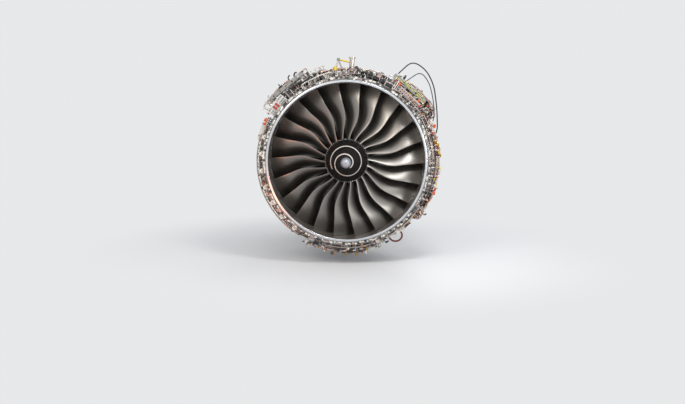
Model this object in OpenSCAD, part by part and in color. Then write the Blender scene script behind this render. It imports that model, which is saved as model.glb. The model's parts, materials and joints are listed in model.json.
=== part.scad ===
// Three-shaft high-bypass turbofan, bare engine without cowls.
// The engine's axis is the Y axis: the inlet faces -Y and the exhaust faces +Y. +Z is up.
// The origin is the centre of the inlet flange's front face. Radii and stations are in millimetres.
// A clock angle is measured clockwise from the top, seen from the front.

/* [Fan] */
// Radius of the fan blade tips
fan_tip_r = 1492; // [1470:1:1500]
// Number of fan blades
blade_count = 22; // [20:1:24]
// Radius of the hub at the blades' leading edge
hub_r = 408; // [395:1:420]
// Slope of the hub line behind the leading edge, rise per unit of length
hub_slope = 0.27; // [0.2:0.01:0.3]
// Station of the blades' leading edge at the root
fan_le = 290; // [270:1:310]
// Chord of the blade root
root_chord = 400; // [380:1:410]
// Chord of the blade tip
tip_chord = 560; // [520:1:580]
// Thickness of the blade root
root_thickness = 44; // [36:1:46]
// Thickness of the blade tip
tip_thickness = 12; // [8:1:16]
// Running gap between blade tips and track liner
tip_gap = 6; // [4:0.5:9]

/* [Spinner] */
// Length of the cone from its nose piece to its base
spinner_cone = 550; // [500:1:600]
// Length of the rounded nose piece
nose_length = 115; // [90:1:130]
// Radius of the nose piece
nose_r = 100; // [85:1:115]
// Wall of the spinner
spinner_wall = 8; // [6:1:12]

/* [Fan case] */
// Length of the front fan case
case_length = 1080; // [1060:1:1120]
// Wall of the fan case
case_wall = 15; // [12:1:18]
// Depth of the track liner
liner_depth = 30; // [24:1:36]
// Radial height of the inlet flange, measured from the case wall
flange_height = 60; // [50:1:66]
// Thickness of the inlet flange
flange_thickness = 22; // [18:1:26]
// Number of inlet flange holes
flange_holes = 60; // [40:2:60]
// Radius of an inlet flange hole
flange_hole_r = 5.5; // [4.5:0.5:6.5]
// Length of the rear fan case
rear_case_length = 920; // [900:1:960]
// Wall of the rear fan case
rear_case_wall = 12; // [10:1:14]

/* [Guide vanes] */
// Number of outlet guide vanes
vane_count = 44; // [36:2:46]
// Chord of an outlet guide vane
vane_chord = 320; // [280:1:340]
// Station of the outlet guide vanes' middle
vane_station = 1560; // [1540:1:1580]

/* [Core] */
// Radius of the splitter lip
splitter_r = 712; // [705:1:718]
// Outer radius of the inner duct wall behind the splitter
duct_inner_r = 855; // [850:1:860]
// Rows of the intermediate-pressure compressor
mid_rows = 8; // [7:1:8]
// Rows of the high-pressure compressor
high_rows = 6; // [5:1:6]
// Rows of the low-pressure turbine
low_rows = 6; // [5:1:6]
// Blades in each hidden compressor row
row_blades = 18; // [16:2:24]
// Running gap of the hidden rows
row_gap = 2.5; // [2:0.5:4]
// Number of fuel injectors
injector_count = 20; // [16:2:20]
// Outer radius of the combustor case
combustor_r = 600; // [590:1:610]

/* [Shafts] */
// Outer radius of the low-pressure shaft
low_shaft_r = 75; // [70:1:80]
// Outer radius of the intermediate-pressure shaft
mid_shaft_r = 104; // [100:1:108]
// Outer radius of the high-pressure shaft
high_shaft_r = 138; // [134:1:142]
// Wall of each shaft
shaft_wall = 16; // [12:1:18]

/* [Accessory drive] */
// Station of the radial drive shaft
radial_station = 1905; // [1895:1:1915]
// Radius of the radial drive shaft
radial_shaft_r = 22; // [18:1:26]
// Distance of the gear axes from the engine's axis
gear_axis_r = 1722; // [1718:1:1726]
// Teeth of each accessory gear
gear_teeth = 22; // [20:1:22]
// Module of the accessory gears
gear_module = 8; // [7.6:0.1:8.2]
// Face width of the accessory gears
gear_width = 60; // [50:1:70]
// Front face of the accessory gearbox
gearbox_front = 1120; // [1110:1:1130]

/* [Services] */
// Height of the left side's service rail over the flange's edge
rail_reach = 69; // [61:1:77]
// Number of gusset brackets on the left side
gusset_count = 7; // [5:1:7]
// Length of the upper beams
beam_length = 780; // [720:1:820]
// Bore of the bleed duct
duct_bore_r = 44; // [40:1:48]

/* [Hidden] */
$fn = 144;
// Clearance between seated pieces
seat = 0.3;
// Radial clearance of a shaft in its bearing
fit = 0.05;

// Radii and stations that follow from the sizes above
liner_r = fan_tip_r + tip_gap;
case_in = liner_r + liner_depth;
case_out = case_in + case_wall;
flange_r = case_out + flange_height;
flange_pcd_r = case_out + flange_height / 2;
rail_r = flange_r + rail_reach;
rear_case_in = liner_r - 30;
rear_case_out = rear_case_in + rear_case_wall;
rear_case_end = case_length + rear_case_length;
pitch = 360 / blade_count;
fan_te = fan_le + root_chord;
disc_front = fan_le + 50;
disc_rear = fan_te - 50;
disc_rim_r = hub_r - 78;
spinner_gap = 18;
nose_station = fan_le - spinner_gap - spinner_cone;
spinner_base_r = hub_r - 3;

// Containment band over the fan, and the radius that clears it within 30 mm of its edges
band_front = fan_le + 10;
band_rear = band_front + tip_chord * 0.8;
band_depth = 22;
function case_r(y) = y > band_front - 30 && y < band_rear + 30 ? case_out + band_depth : case_out;

// Radius of the hub line at station y
function hub_line(y) = hub_r + hub_slope * max(0, y - fan_le);

// Places a shape made about +Z along the engine's axis
module along_axis() {
    rotate([-90, 0, 0]) children();
}

// A full ring with the outline [radius, station]
module turned(points) {
    along_axis() rotate_extrude() polygon(points);
}

// A ring from one clock angle to another, of a shape drawn as [radius, station]
module swept(from, to) {
    along_axis() rotate([0, 0, from - 90]) rotate_extrude(angle = to - from) children();
}

// A flat-sided ring
module hoop(inner, outer, front, rear) {
    turned([[inner, front], [outer, front], [outer, rear], [inner, rear]]);
}

// Places a shape at a clock angle, with +Z pointing outwards
module at_clock(angle, radius = 0, station = 0) {
    rotate([0, angle, 0]) translate([0, station, radius]) children();
}

// Copies a shape around the axis
module around(count, start = 0) {
    for (i = [0:count - 1]) rotate([0, start + i * 360 / count, 0]) children();
}

// A cylinder along the engine's axis, standing off it by radius at a clock angle
module axial_rod(angle, radius, front, rear, r) {
    at_clock(angle, radius, front) along_axis() cylinder(r = r, h = rear - front);
}

// A round bar that points outwards
module radial_rod(angle, station, inner, outer, r) {
    at_clock(angle, inner, station) cylinder(r = r, h = outer - inner);
}

// Outline of a thin aerofoil on the chord 0 to 1, scaled to chord c, thickness t and camber b
function half_thickness(u) = 1.35 * sqrt(u) * (1 - u) + 0.35 * u * (1 - u) + 0.04;
function aerofoil(c, t, b, n = 7) = concat(
    [for (i = [0:n]) let (u = i / n) [c * u, 4 * b * u * (1 - u) + t * half_thickness(u) * 0.8]],
    [for (i = [n:-1:0]) let (u = i / n) [c * u, 4 * b * u * (1 - u) - t * half_thickness(u) * 0.8]]
);

// A row of plain radial blades: section, pitch angle and height from inner to outer radius
module blade_row(count, station, inner, outer, chord, thickness, stagger, start = 0) {
    around(count, start) translate([0, station, inner]) rotate([0, 0, stagger])
        linear_extrude(outer - inner)
            polygon([[0, -chord / 2], [thickness / 2, 0], [0, chord / 2], [-thickness / 2, -chord * 0.1]]);
}

// Fan blade design, each as [fraction of span, value]
le_lean = [[0, 0], [0.18, 5.4], [0.36, 8.8], [0.48, 8.4], [0.7, 5.4], [1, 3.8]];
stagger_design = [[0, 12], [0.2, 24], [0.45, 40], [0.7, 52], [1, 61]];
chord_share = [[0, 0], [0.3, 0.25], [0.6, 0.75], [0.8, 1.05], [1, 1]];
le_sweep = [[0, 0], [0.3, -12], [0.55, -22], [0.75, -5], [1, 72]];
root_camber = 0.1;
camber_share = [[0, root_camber], [0.3, 0.09], [0.6, 0.06], [1, 0.03]];
span_steps = [0, 0.11, 0.23, 0.36, 0.49, 0.62, 0.75, 0.88, 1];
root_lean = 6.2;
chord_steps = 5;
neck_r = disc_rim_r + seat;

// Smooth curve through a design table, found by cubic interpolation of its neighbours
function smooth(x, t) = (lookup(x - 0.05, t) + 2 * lookup(x, t) + lookup(x + 0.05, t)) / 4;

// One blade section at a fraction of the span: points [across, station]
function section_chord(f) = root_chord + (tip_chord - root_chord) * smooth(f, chord_share);
function section_thickness(f) = root_thickness + (tip_thickness - root_thickness) * pow(f, 0.6);
function section_le(f) = let (r = hub_r + f * (fan_tip_r - hub_r))
    [r * sin(root_lean + smooth(f, le_lean)), fan_le + smooth(f, le_sweep)];
function section(f, grow = 0) = let (
    c = section_chord(f),
    s = smooth(f, stagger_design),
    le = section_le(f),
    outline = aerofoil(c, section_thickness(f), c * smooth(f, camber_share), chord_steps)
) [for (i = [0:len(outline) - 1]) let (
        p = outline[i],
        side = i <= chord_steps ? 1 : -1,
        u = p[0] + (p[0] == 0 ? -grow : 0) + (p[0] == c ? grow : 0),
        n = p[1] + side * grow
    ) [le[0] - u * sin(s) - n * cos(s), le[1] + u * cos(s) - n * sin(s)]];

// Radius of the surface at a fraction of the span and station y
function span_r(f, y) = hub_line(y) + f * (fan_tip_r - hub_line(y));
function lifted(p, r) = [p[0], p[1], sqrt(r * r - p[0] * p[0])];

// One blade as a loft from its neck in the disc to its tip
module blade_form() {
    n = 2 * (chord_steps + 1);
    neck = [for (p = section(0)) [p[0], p[1], neck_r]];
    rings = [for (f = span_steps) [for (p = section(f)) lifted(p, span_r(f, p[1]))]];
    layers = concat([neck], rings);
    m = len(layers);
    points = [for (layer = layers) for (p = layer) p];
    sides = [for (k = [0:m - 2]) for (i = [0:n - 1]) let (j = (i + 1) % n)
        for (t = [[k * n + i, k * n + j, (k + 1) * n + j], [k * n + i, (k + 1) * n + j, (k + 1) * n + i]]) t];
    caps = [for (base = [0, (m - 1) * n]) for (i = [0:n / 2 - 2]) let (
            a = base + i, b = base + i + 1, c = base + n - 2 - i, d = base + n - 1 - i)
        for (t = base == 0 ? [[a, c, b], [a, d, c]] : [[a, b, c], [a, c, d]]) t];
    polyhedron(points, concat(sides, caps));
}

// Dovetail foot of a blade, drawn across the slot, and the slot that takes it
foot_stagger = 12;
module foot_outline(grow) {
    polygon([[-14 - grow, neck_r + 6], [14 + grow, neck_r + 6], [14 + grow, neck_r - 20],
        [26 + grow, neck_r - 38], [26 + grow, neck_r - 54 - grow], [-26 - grow, neck_r - 54 - grow],
        [-26 - grow, neck_r - 38], [-14 - grow, neck_r - 20]]);
}
module foot(grow, over) {
    length = disc_rear - disc_front + 2 * over;
    translate([0, (disc_front + disc_rear) / 2, 0]) rotate([0, 0, foot_stagger])
        rotate([90, 0, 0]) linear_extrude(length, center = true) foot_outline(grow);
}

module fan_blades() {
    color("#4b4742") around(blade_count) {
        blade_form();
        foot(0, -12);
    }
}

module fan_disc() {
    web = 46;
    color("#6d6a68") difference() {
        turned([[low_shaft_r + 95, disc_front + 30], [disc_rim_r - 100, disc_front + 60],
            [disc_rim_r - 90, disc_front], [disc_rim_r, disc_front], [disc_rim_r, disc_rear],
            [disc_rim_r - 90, disc_rear], [disc_rim_r - 100, disc_rear - 60],
            [low_shaft_r + 95, disc_rear - 60], [low_shaft_r + 95, disc_rear],
            [low_shaft_r + 25, disc_rear], [low_shaft_r + 25, disc_rear - 2 * web],
            [low_shaft_r + 60, disc_front + 30]]);
        around(blade_count) foot(seat, 60);
    }
}

// The hub surface between the blades, cut out where they stand
filler_wall = 7;
function root_middle(y) = let (u = (y - fan_le) / root_chord, s = foot_stagger)
    section_le(0)[0] - root_chord * (u * tan(s) + 4 * root_camber * u * (1 - u));
module annulus_fillers() {
    front = fan_le - spinner_gap + seat;
    rear = fan_te + 14;
    color("#2b2826") difference() {
        union() {
            turned([[hub_line(front) - filler_wall, front], [hub_line(front), front],
                [hub_r, fan_le], [hub_line(rear), rear], [hub_line(rear) - filler_wall, rear],
                [hub_r - filler_wall, fan_le]]);
            for (y = [disc_front + 40, disc_rear - 66])
                around(blade_count, pitch / 2 + asin(root_middle(y + 13) / hub_line(y)))
                    translate([-4, y, disc_rim_r + seat])
                        cube([8, 26, hub_line(y) - disc_rim_r - filler_wall + 2]);
        }
        around(blade_count) translate([0, 0, hub_r - 60]) linear_extrude(260)
            polygon(section(0, 1.2));
        around(blade_count) translate([section(0)[0][0] - 1.5, front - 1, hub_r - 60])
            cube([3, fan_le - front + 9, 260]);
        around(blade_count) let (te = section(0)[chord_steps])
            translate([te[0] - 1.5, te[1] - 8, hub_r - 60]) cube([3, 60, 260]);
    }
}

// Spinner: a slightly convex cone behind a rounded nose piece
cone_steps = 8;
function cone_r(t) = nose_r + (spinner_base_r - nose_r) * (1.25 * t - 0.25 * t * t);
module spinner() {
    base = nose_station + spinner_cone;
    outer = [for (i = [0:cone_steps]) [cone_r(i / cone_steps), nose_station + spinner_cone * i / cone_steps]];
    inner = [for (i = [cone_steps:-1:0])
        [cone_r(i / cone_steps) - spinner_wall, nose_station + spinner_cone * i / cone_steps]];
    color("#191615") difference() {
        union() {
            turned(concat(outer, inner));
            hoop(spinner_base_r - 70, spinner_base_r - spinner_wall + 1, base - 12, base);
            hoop(nose_r - 40, nose_r - spinner_wall + 1, nose_station, nose_station + 10);
        }
        around(blade_count, pitch / 2) axial_rod(0, spinner_base_r - 48, base - 20, base + 5, 6.5);
    }
}

module spinner_nose() {
    tip = nose_station - nose_length;
    dome = [for (a = [0:10:90]) [nose_r * cos(a), nose_station - seat - nose_length * sin(a)]];
    color("#a9a9b2") union() {
        turned(concat([[0, nose_station - seat]], [for (p = dome) [max(p[0], 0), p[1]]]));
        hoop(0, nose_r - 41, nose_station - seat - 1, nose_station + 26);
    }
}

module spinner_bolts() {
    base = nose_station + spinner_cone;
    color("#8c8a86") around(blade_count, pitch / 2) {
        axial_rod(0, spinner_base_r - 48, base - 12, base + 16, 6);
        axial_rod(0, spinner_base_r - 48, base - 22, base - 12.1, 11);
    }
    color("#6d6a68") difference() {
        union() {
            hoop(spinner_base_r - 78, spinner_base_r - 12, base + seat, base + 14);
            turned([[disc_rim_r - 30, base + 14], [disc_rim_r - 12, base + 14],
                [disc_rim_r - 12, disc_front - seat], [disc_rim_r - 30, disc_front - seat]]);
        }
        around(blade_count, pitch / 2) axial_rod(0, spinner_base_r - 48, base - 20, base + 40, 6.3);
    }
}

// Front fan case: flanged barrel with stiffening rings and a containment band over the fan
rib_height = 44;
module fan_case() {
    color("#b9bcc0") difference() {
        along_axis() rotate_extrude() {
            translate([case_in, 0]) square([case_wall, case_length]);
            translate([liner_r + 2, 0]) square([flange_r - liner_r - 2, flange_thickness]);
            translate([case_in, band_front]) square([case_wall + band_depth, band_rear - band_front]);
            for (y = [0.17, 0.48, 0.78])
                translate([case_in, case_length * y]) square([case_wall + rib_height, 14]);
            translate([case_in, case_length - 18]) square([case_wall + rib_height, 18]);
        }
        around(flange_holes) axial_rod(0, flange_pcd_r, -1, flange_thickness + 1, flange_hole_r);
        around(40, 4.5) axial_rod(0, case_out + rib_height / 2, case_length - 20, case_length + 1, 6);
    }
}

module fan_track_liner() {
    color("#3f3b38") turned([[liner_r + 1.2, flange_thickness + seat], [liner_r, flange_thickness + 20],
        [liner_r, fan_te + 60], [rear_case_in, case_length - seat], [case_in - seat, case_length - seat],
        [case_in - seat, flange_thickness + seat]]);
}

module rear_fan_case() {
    front = case_length + seat;
    color("#a5a7a8") difference() {
        along_axis() rotate_extrude() {
            translate([rear_case_in, front]) square([rear_case_wall, rear_case_end - front]);
            translate([rear_case_in, front]) square([case_out + rib_height - rear_case_in, 18]);
            for (y = [0.33, 0.72]) translate([rear_case_in, case_length + rear_case_length * y])
                square([rear_case_wall + 60, 14]);
            translate([rear_case_in, rear_case_end - 20]) square([rear_case_wall + 50, 20]);
        }
        around(40, 4.5) axial_rod(0, case_out + rib_height / 2, case_length - 1, case_length + 20, 6);
        radial_rod(180, radial_station, rear_case_in - 20, rear_case_out + 80, radial_shaft_r + 22);
    }
}

module outlet_guide_vanes() {
    foot_angle = 360 / vane_count - 0.4;
    foot_length = vane_chord + 30;
    color("#8f8d88") around(vane_count) {
        translate([vane_chord * sin(14) / 2, vane_station - vane_chord * cos(14) / 2, duct_inner_r + 4])
            rotate([0, 0, 14]) linear_extrude(rear_case_in - duct_inner_r - 9)
                rotate([0, 0, 90]) polygon(aerofoil(vane_chord, 26, 22, 4));
        swept(-foot_angle / 2, foot_angle / 2)
            translate([duct_inner_r + seat, vane_station - foot_length / 2])
            square([9, foot_length]);
        swept(-foot_angle / 2, foot_angle / 2)
            translate([rear_case_in - 9 - seat, vane_station - foot_length / 2])
            square([9, foot_length]);
    }
}

// Splitter lip and the inner wall of the bypass duct behind it
splitter_lip = 900;
core_inlet_end = 1180;
core_inlet_r = splitter_r - 46;
fairing_end = 1840;
wall = 8;
module core_fairing() {
    color("#97979a") turned([[splitter_r, splitter_lip], [splitter_r + 26, splitter_lip + 34],
        [splitter_r + 80, splitter_lip + 150], [duct_inner_r - 14, splitter_lip + 310],
        [duct_inner_r, splitter_lip + 430], [duct_inner_r, fairing_end - seat],
        [duct_inner_r - wall, fairing_end - seat], [duct_inner_r - wall, splitter_lip + 430],
        [duct_inner_r - 14 - wall, splitter_lip + 312], [splitter_r + 70, splitter_lip + 156],
        [splitter_r + 12, splitter_lip + 60], [core_inlet_r + 10, core_inlet_end - seat],
        [core_inlet_r, core_inlet_end - seat], [splitter_r - 10, splitter_lip + 30]]);
}

// Hub of the core inlet, with the inlet vanes and the housing of the front bearing
hub_rear_r = hub_line(fan_te + 20) - 6;
inlet_hub_end = 1180;
inlet_hub_end_r = 455;
front_bearing_station = 1000;
bearing_wall = 22;
function inlet_hub_r(y) = let (run = (y - fan_te - 30) / (inlet_hub_end - fan_te - 30))
    hub_rear_r + (inlet_hub_end_r - hub_rear_r) * run;
module front_bearing_frame() {
    start = fan_te + 30;
    housing_r = low_shaft_r + bearing_wall + 26;
    color("#8b8d90") union() {
        turned([[hub_rear_r - wall, start], [hub_rear_r, start], [inlet_hub_end_r, inlet_hub_end],
            [inlet_hub_end_r - wall, inlet_hub_end]]);
        turned([[housing_r, front_bearing_station - 40], [housing_r + 16, front_bearing_station - 40],
            [inlet_hub_r(960) - 4, 952], [inlet_hub_r(980) - 4, 980],
            [housing_r + 16, front_bearing_station + 10],
            [housing_r + 16, front_bearing_station + 40], [housing_r, front_bearing_station + 40]]);
        blade_row(36, 1060, inlet_hub_r(1060) - 5, core_inlet_r + 10, 90, 10, 6);
    }
}

// Variable inlet guide vanes with their spindles and levers, and the ring that turns them
vgv_station = 1222;
mid_case_r = core_inlet_r + 6;
ring_r = mid_case_r + 70;
lever_count = 34;
module inlet_guide_vanes() {
    color("#7f8286") around(lever_count) {
        translate([0, vgv_station, 470]) rotate([0, 0, 8]) linear_extrude(mid_case_r - 486)
            polygon([[0, -30], [4, 0], [0, 30], [-4, -5]]);
        translate([0, vgv_station, mid_case_r - 18]) cylinder(r = 8, h = 56);
        translate([-6, vgv_station - 8, mid_case_r + 34]) cube([12, 58, 5]);
    }
}

module unison_ring() {
    color("#9a9ca0") union() {
        hoop(ring_r - 30, ring_r - 12, vgv_station + 54, vgv_station + 74);
        around(8, 12) radial_rod(0, vgv_station + 64, mid_skin_r(vgv_station + 58) + seat, ring_r - 28, 6);
        at_clock(actuator_clock, ring_r - 14, vgv_station + 56) translate([-8, 0, 0]) cube([16, 16, 46]);
    }
}

// Actuator beside the unison ring: a fixed cylinder and its ram
actuator_clock = 60;
actuator_r = ring_r + 18;
ram_reach = 14;
lug_gap = 0.8;
function mid_skin_r(y) = mid_outer(y) + mid_skin;
module vane_actuator() {
    foot_z = sqrt(pow(mid_skin_r(vgv_station + 50) + seat, 2) - 150 * 150);
    color("#8a8176") at_clock(actuator_clock, actuator_r, vgv_station + 64) union() {
        difference() {
            translate([40, 0, 0]) rotate([0, 90, 0]) cylinder(r = 20, h = 150);
            translate([39, 0, 0]) rotate([0, 90, 0]) cylinder(r = 9 + fit, h = 120);
        }
        translate([150, -14, -26]) cube([26, 44, 16]);
        translate([150, 14, foot_z - actuator_r]) cube([26, 16, actuator_r - foot_z - 16]);
    }
}

module actuator_ram() {
    color("#c4c6c8") at_clock(actuator_clock, actuator_r, vgv_station + 64) union() {
        translate([ram_reach, 0, 0]) rotate([0, 90, 0]) cylinder(r = 9, h = 90);
        translate([8 + lug_gap, -8, -14]) cube([8, 16, 28]);
    }
}

// Intermediate-pressure compressor
mid_skin = 12;
mid_front = 1262;
mid_pitch = 68;
mid_end = mid_front + 8 * mid_pitch;
mid_exit_r = 585;
mid_drum_r = 452;
mid_drum_exit_r = 498;
function mid_share(y) = (y - mid_front) / (mid_end - mid_front);
function mid_outer(y) = mid_case_r - 12 + (mid_exit_r - mid_case_r + 12) * mid_share(y);
function mid_inner(y) = mid_drum_r + (mid_drum_exit_r - mid_drum_r) * mid_share(y);
module mid_compressor_case() {
    skin = mid_skin;
    color("#a9aaa8") difference() {
        union() {
            turned([[mid_outer(mid_front), core_inlet_end], [mid_outer(mid_front) + skin, core_inlet_end],
                [mid_outer(mid_front) + skin, mid_front], [mid_outer(mid_end) + skin, mid_end],
                [mid_outer(mid_end), mid_end], [mid_outer(mid_front), mid_front]]);
            hoop(mid_outer(mid_front) + 4, mid_outer(mid_front) + skin + 26,
                core_inlet_end, core_inlet_end + 12);
            hoop(mid_outer(mid_end) + 2, mid_outer(mid_end) + skin + 40, mid_end - 14, mid_end);
            for (k = [1:3]) let (y = mid_front + 2 * k * mid_pitch)
                hoop(mid_outer(y) + 4, mid_outer(y) + skin + 18, y - 8, y + 8);
            for (k = [0:mid_rows - 2]) let (y = mid_front + (k + 1) * mid_pitch)
                blade_row(row_blades, y, mid_inner(y) + 2 * row_gap + 2, mid_outer(y) + 6, 24, 5, -20);
        }
        around(lever_count) translate([0, vgv_station, mid_case_r - 60]) cylinder(r = 8 + fit, h = 100);
    }
}

module mid_compressor() {
    skin = 14;
    color("#8d9094") union() {
        turned([[mid_inner(mid_front) - skin, mid_front - 4], [mid_inner(mid_front), mid_front - 4],
            [mid_inner(mid_end), mid_end - 6], [mid_inner(mid_end) - skin, mid_end - 6]]);
        for (k = [0:mid_rows - 1]) let (y = mid_front + (k + 0.5) * mid_pitch) {
            blade_row(row_blades, y, mid_inner(y) - 4, mid_outer(y) - row_gap - 4, 34, 5, 32);
            turned([[mid_inner(y) - 70, y - 5], [mid_inner(y) - 4, y - 5], [mid_inner(y) - 4, y + 5],
                [mid_inner(y) - 70, y + 5]]);
        }
        turned([[mid_shaft_r - 4, 1560], [mid_shaft_r + 14, 1560], [mid_inner(1700) - 8, 1690],
            [mid_inner(1700) - 8, 1706], [mid_shaft_r - 4, 1590]]);
        turned([[mid_shaft_r - 4, 1110], [mid_shaft_r + 10, 1110], [mid_shaft_r + 10, 1180],
            [mid_inner(1300) - 8, 1290], [mid_inner(1300) - 8, 1304], [mid_shaft_r - 4, 1200]]);
        hoop(mid_shaft_r - shaft_wall, mid_shaft_r, 1100, 1760);
    }
}

// Intercase: the strutted frame between the two compressors, which carries the engine
intercase_end = 2300;
swan_in = [mid_drum_exit_r, mid_exit_r];
swan_out = [352, 440];
strut_count = 10;
module intercase() {
    outer_front = fairing_end + seat;
    color("#9c9da0") difference() {
        union() {
            turned([[duct_inner_r - 14, outer_front], [duct_inner_r, outer_front],
                [duct_inner_r, intercase_end],
                [duct_inner_r - 14, intercase_end]]);
            turned([[swan_in[1], mid_end + seat], [swan_in[1] + 46, mid_end + seat], [swan_in[1] + 40, 1900],
                [swan_out[1] + 24, 2180], [swan_out[1] + 24, intercase_end - 16],
                [swan_out[1] + 64, intercase_end - 16],
                [swan_out[1] + 64, intercase_end], [swan_out[1], intercase_end], [swan_out[1], 2180],
                [swan_in[1], 1900]]);
            turned([[swan_in[0] - 14, mid_end + 6], [swan_in[0], mid_end + 6], [swan_in[0], 1900],
                [swan_out[0], 2190], [swan_out[0], intercase_end], [swan_out[0] - 14, intercase_end],
                [swan_out[0] - 14, 2190], [swan_in[0] - 14, 1900]]);
            blade_row(strut_count, 2010, 400, duct_inner_r - 6, 150, 44, 0, 0);
            turned([[high_shaft_r + 50, 2130], [high_shaft_r + 62, 2130], [swan_out[0] - 6, 2200],
                [swan_out[0] - 6, 2216], [high_shaft_r + 62, 2180], [high_shaft_r + 62, 2240],
                [high_shaft_r + 50, 2240]]);
            turned([[mid_shaft_r + 32, 1750], [mid_shaft_r + 44, 1750], [mid_shaft_r + 44, 1780],
                [swan_in[0] - 6, 1870], [swan_in[0] - 6, 1884], [mid_shaft_r + 44, 1814],
                [mid_shaft_r + 32, 1814]]);
        }
        radial_rod(180, radial_station, 140, duct_inner_r + 20, radial_shaft_r + 12);
    }
    color("#9c9da0") difference() {
        union() {
            radial_rod(180, radial_station, swan_in[0] - 6, rear_case_in + 2, radial_shaft_r + 20);
            translate([0, radial_station, -rear_case_in - 4]) cylinder(r = 42, h = 2);
        }
        radial_rod(180, radial_station, 140, 1180, radial_shaft_r + 10);
        radial_rod(180, radial_station, 1170, 1220, radial_shaft_r + fit);
        radial_rod(180, radial_station, 1210, rear_case_in + 80, radial_shaft_r + 10);
        hoop(duct_inner_r - 14.3, duct_inner_r + seat, radial_station - 80, radial_station + 80);
    }
}

// High-pressure compressor
high_front = 2310;
high_pitch = 78;
high_end = high_front + 6 * high_pitch;
high_drum = [350, 372];
high_annulus = [440, 404];
function high_share(y) = (y - high_front) / (high_end - high_front);
function high_inner(y) = high_drum[0] + (high_drum[1] - high_drum[0]) * high_share(y);
function high_outer(y) = high_annulus[0] + (high_annulus[1] - high_annulus[0]) * high_share(y);
module high_compressor_case() {
    skin = 14;
    color("#a8a29a") union() {
        turned([[high_outer(high_front), intercase_end + seat], [swan_out[1] + 64, intercase_end + seat],
            [swan_out[1] + 64, intercase_end + 16], [high_outer(high_front) + skin + 6, intercase_end + 16],
            [high_outer(high_end) + skin + 6, high_end - 16], [combustor_r - 20, high_end + 40],
            [combustor_r + 26, high_end + 40],
            [combustor_r + 26, high_end + 54], [combustor_r - 24, high_end + 54],
            [high_outer(high_end), high_end]]);
        for (k = [1:4]) let (y = high_front + k * high_pitch * 1.1)
            hoop(high_outer(y) + 4, high_outer(y) + skin + 34, y - 7, y + 7);
        for (k = [0:high_rows - 2]) let (y = high_front + (k + 1) * high_pitch)
            blade_row(row_blades, y, high_inner(y) + 2 * row_gap, high_outer(y) + 4, 26, 4, -20);
    }
}

module high_compressor() {
    skin = 12;
    color("#90938f") union() {
        turned([[high_inner(high_front) - skin, high_front + 4], [high_inner(high_front), high_front + 4],
            [high_inner(high_end), high_end - 6], [high_inner(high_end) - skin, high_end - 6]]);
        for (k = [0:high_rows - 1]) let (y = high_front + (k + 0.5) * high_pitch) {
            blade_row(row_blades, y, high_inner(y) - 4, high_outer(y) - row_gap - 3, 34, 4, 34);
            turned([[high_shaft_r + 30, y - 16], [high_shaft_r + 60, y - 16], [high_shaft_r + 80, y - 5],
                [high_inner(y) - 4, y - 5], [high_inner(y) - 4, y + 5], [high_shaft_r + 80, y + 5],
                [high_shaft_r + 60, y + 16], [high_shaft_r + 30, y + 16]]);
        }
        turned([[high_shaft_r - 2, 2250], [high_shaft_r + 12, 2250],
            [high_inner(high_front) - 4, high_front + 18],
            [high_inner(high_front) - 4, high_front + 32], [high_shaft_r - 2, 2276]]);
        turned([[high_shaft_r - 2, high_end + 60], [high_inner(high_end) - skin, high_end - 20],
            [high_inner(high_end) - 2, high_end - 20], [high_inner(high_end) - 2, high_end - 6],
            [high_shaft_r + 12, high_end + 74], [high_shaft_r - 2, high_end + 74]]);
        hoop(high_shaft_r - shaft_wall, high_shaft_r, radial_station + wheel_r[1] + 8, high_end + 120);
        bevel_wheel();
    }
}

// Bevel gears of the radial drive. Each set is a wheel and a pinion whose cones share an apex.
bevel_module = 7.5;
wheel_teeth = 40;
pinion_teeth = 20;
wheel_r = [bevel_module * wheel_teeth / 2, bevel_module * pinion_teeth / 2];
mitre_module = 6;
mitre_teeth = 20;
mitre_r = mitre_module * mitre_teeth / 2;
bevel_face = 0.74;

// Outline of a gear with straight-flanked teeth, one tooth centred at start degrees
function gear_points(teeth, m, start, tip, root, tip_w, root_w) = [for (i = [0:teeth - 1])
    let (p = 360 / teeth, a = start + i * p, r = teeth * m / 2)
    for (q = [[r - root * m, -root_w], [r + tip * m, -tip_w], [r + tip * m, tip_w], [r - root * m, root_w]])
        [q[0] * cos(a + q[1] * p), q[0] * sin(a + q[1] * p)]];

// A bevel gear about +Z, its apex at the origin and its back face at height back
module bevel(teeth, m, back, start) {
    translate([0, 0, back]) mirror([0, 0, 1])
        linear_extrude(back * (1 - bevel_face), scale = bevel_face)
            polygon(gear_points(teeth, m, start, 0.5, 1.15, 0.08, 0.25));
}

module bevel_wheel() {
    translate([0, radial_station, 0]) along_axis() difference() {
        union() {
            bevel(wheel_teeth, bevel_module, wheel_r[1], 90);
            translate([0, 0, wheel_r[1]]) cylinder(r = wheel_r[0] - 8, h = 12);
        }
        translate([0, 0, -1]) cylinder(r = high_shaft_r - shaft_wall, h = 200);
    }
}

gear_z = -gear_axis_r;
module radial_drive_shaft() {
    top = -wheel_r[0];
    color("#a3a5a8") union() {
        translate([0, radial_station, 0]) mirror([0, 0, 1]) {
            bevel(pinion_teeth, bevel_module, wheel_r[0], 90 + 180 / pinion_teeth);
            translate([0, 0, wheel_r[0]]) cylinder(r = wheel_r[1] - 14, h = 8);
        }
        translate([0, radial_station, gear_z + mitre_r * bevel_face])
            cylinder(r = radial_shaft_r, h = top - gear_z - mitre_r * bevel_face + 10);
        translate([0, radial_station, gear_z]) {
            bevel(mitre_teeth, mitre_module, mitre_r, 90);
            translate([0, 0, mitre_r]) cylinder(r = mitre_r - 12, h = 8);
        }
    }
}

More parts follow.
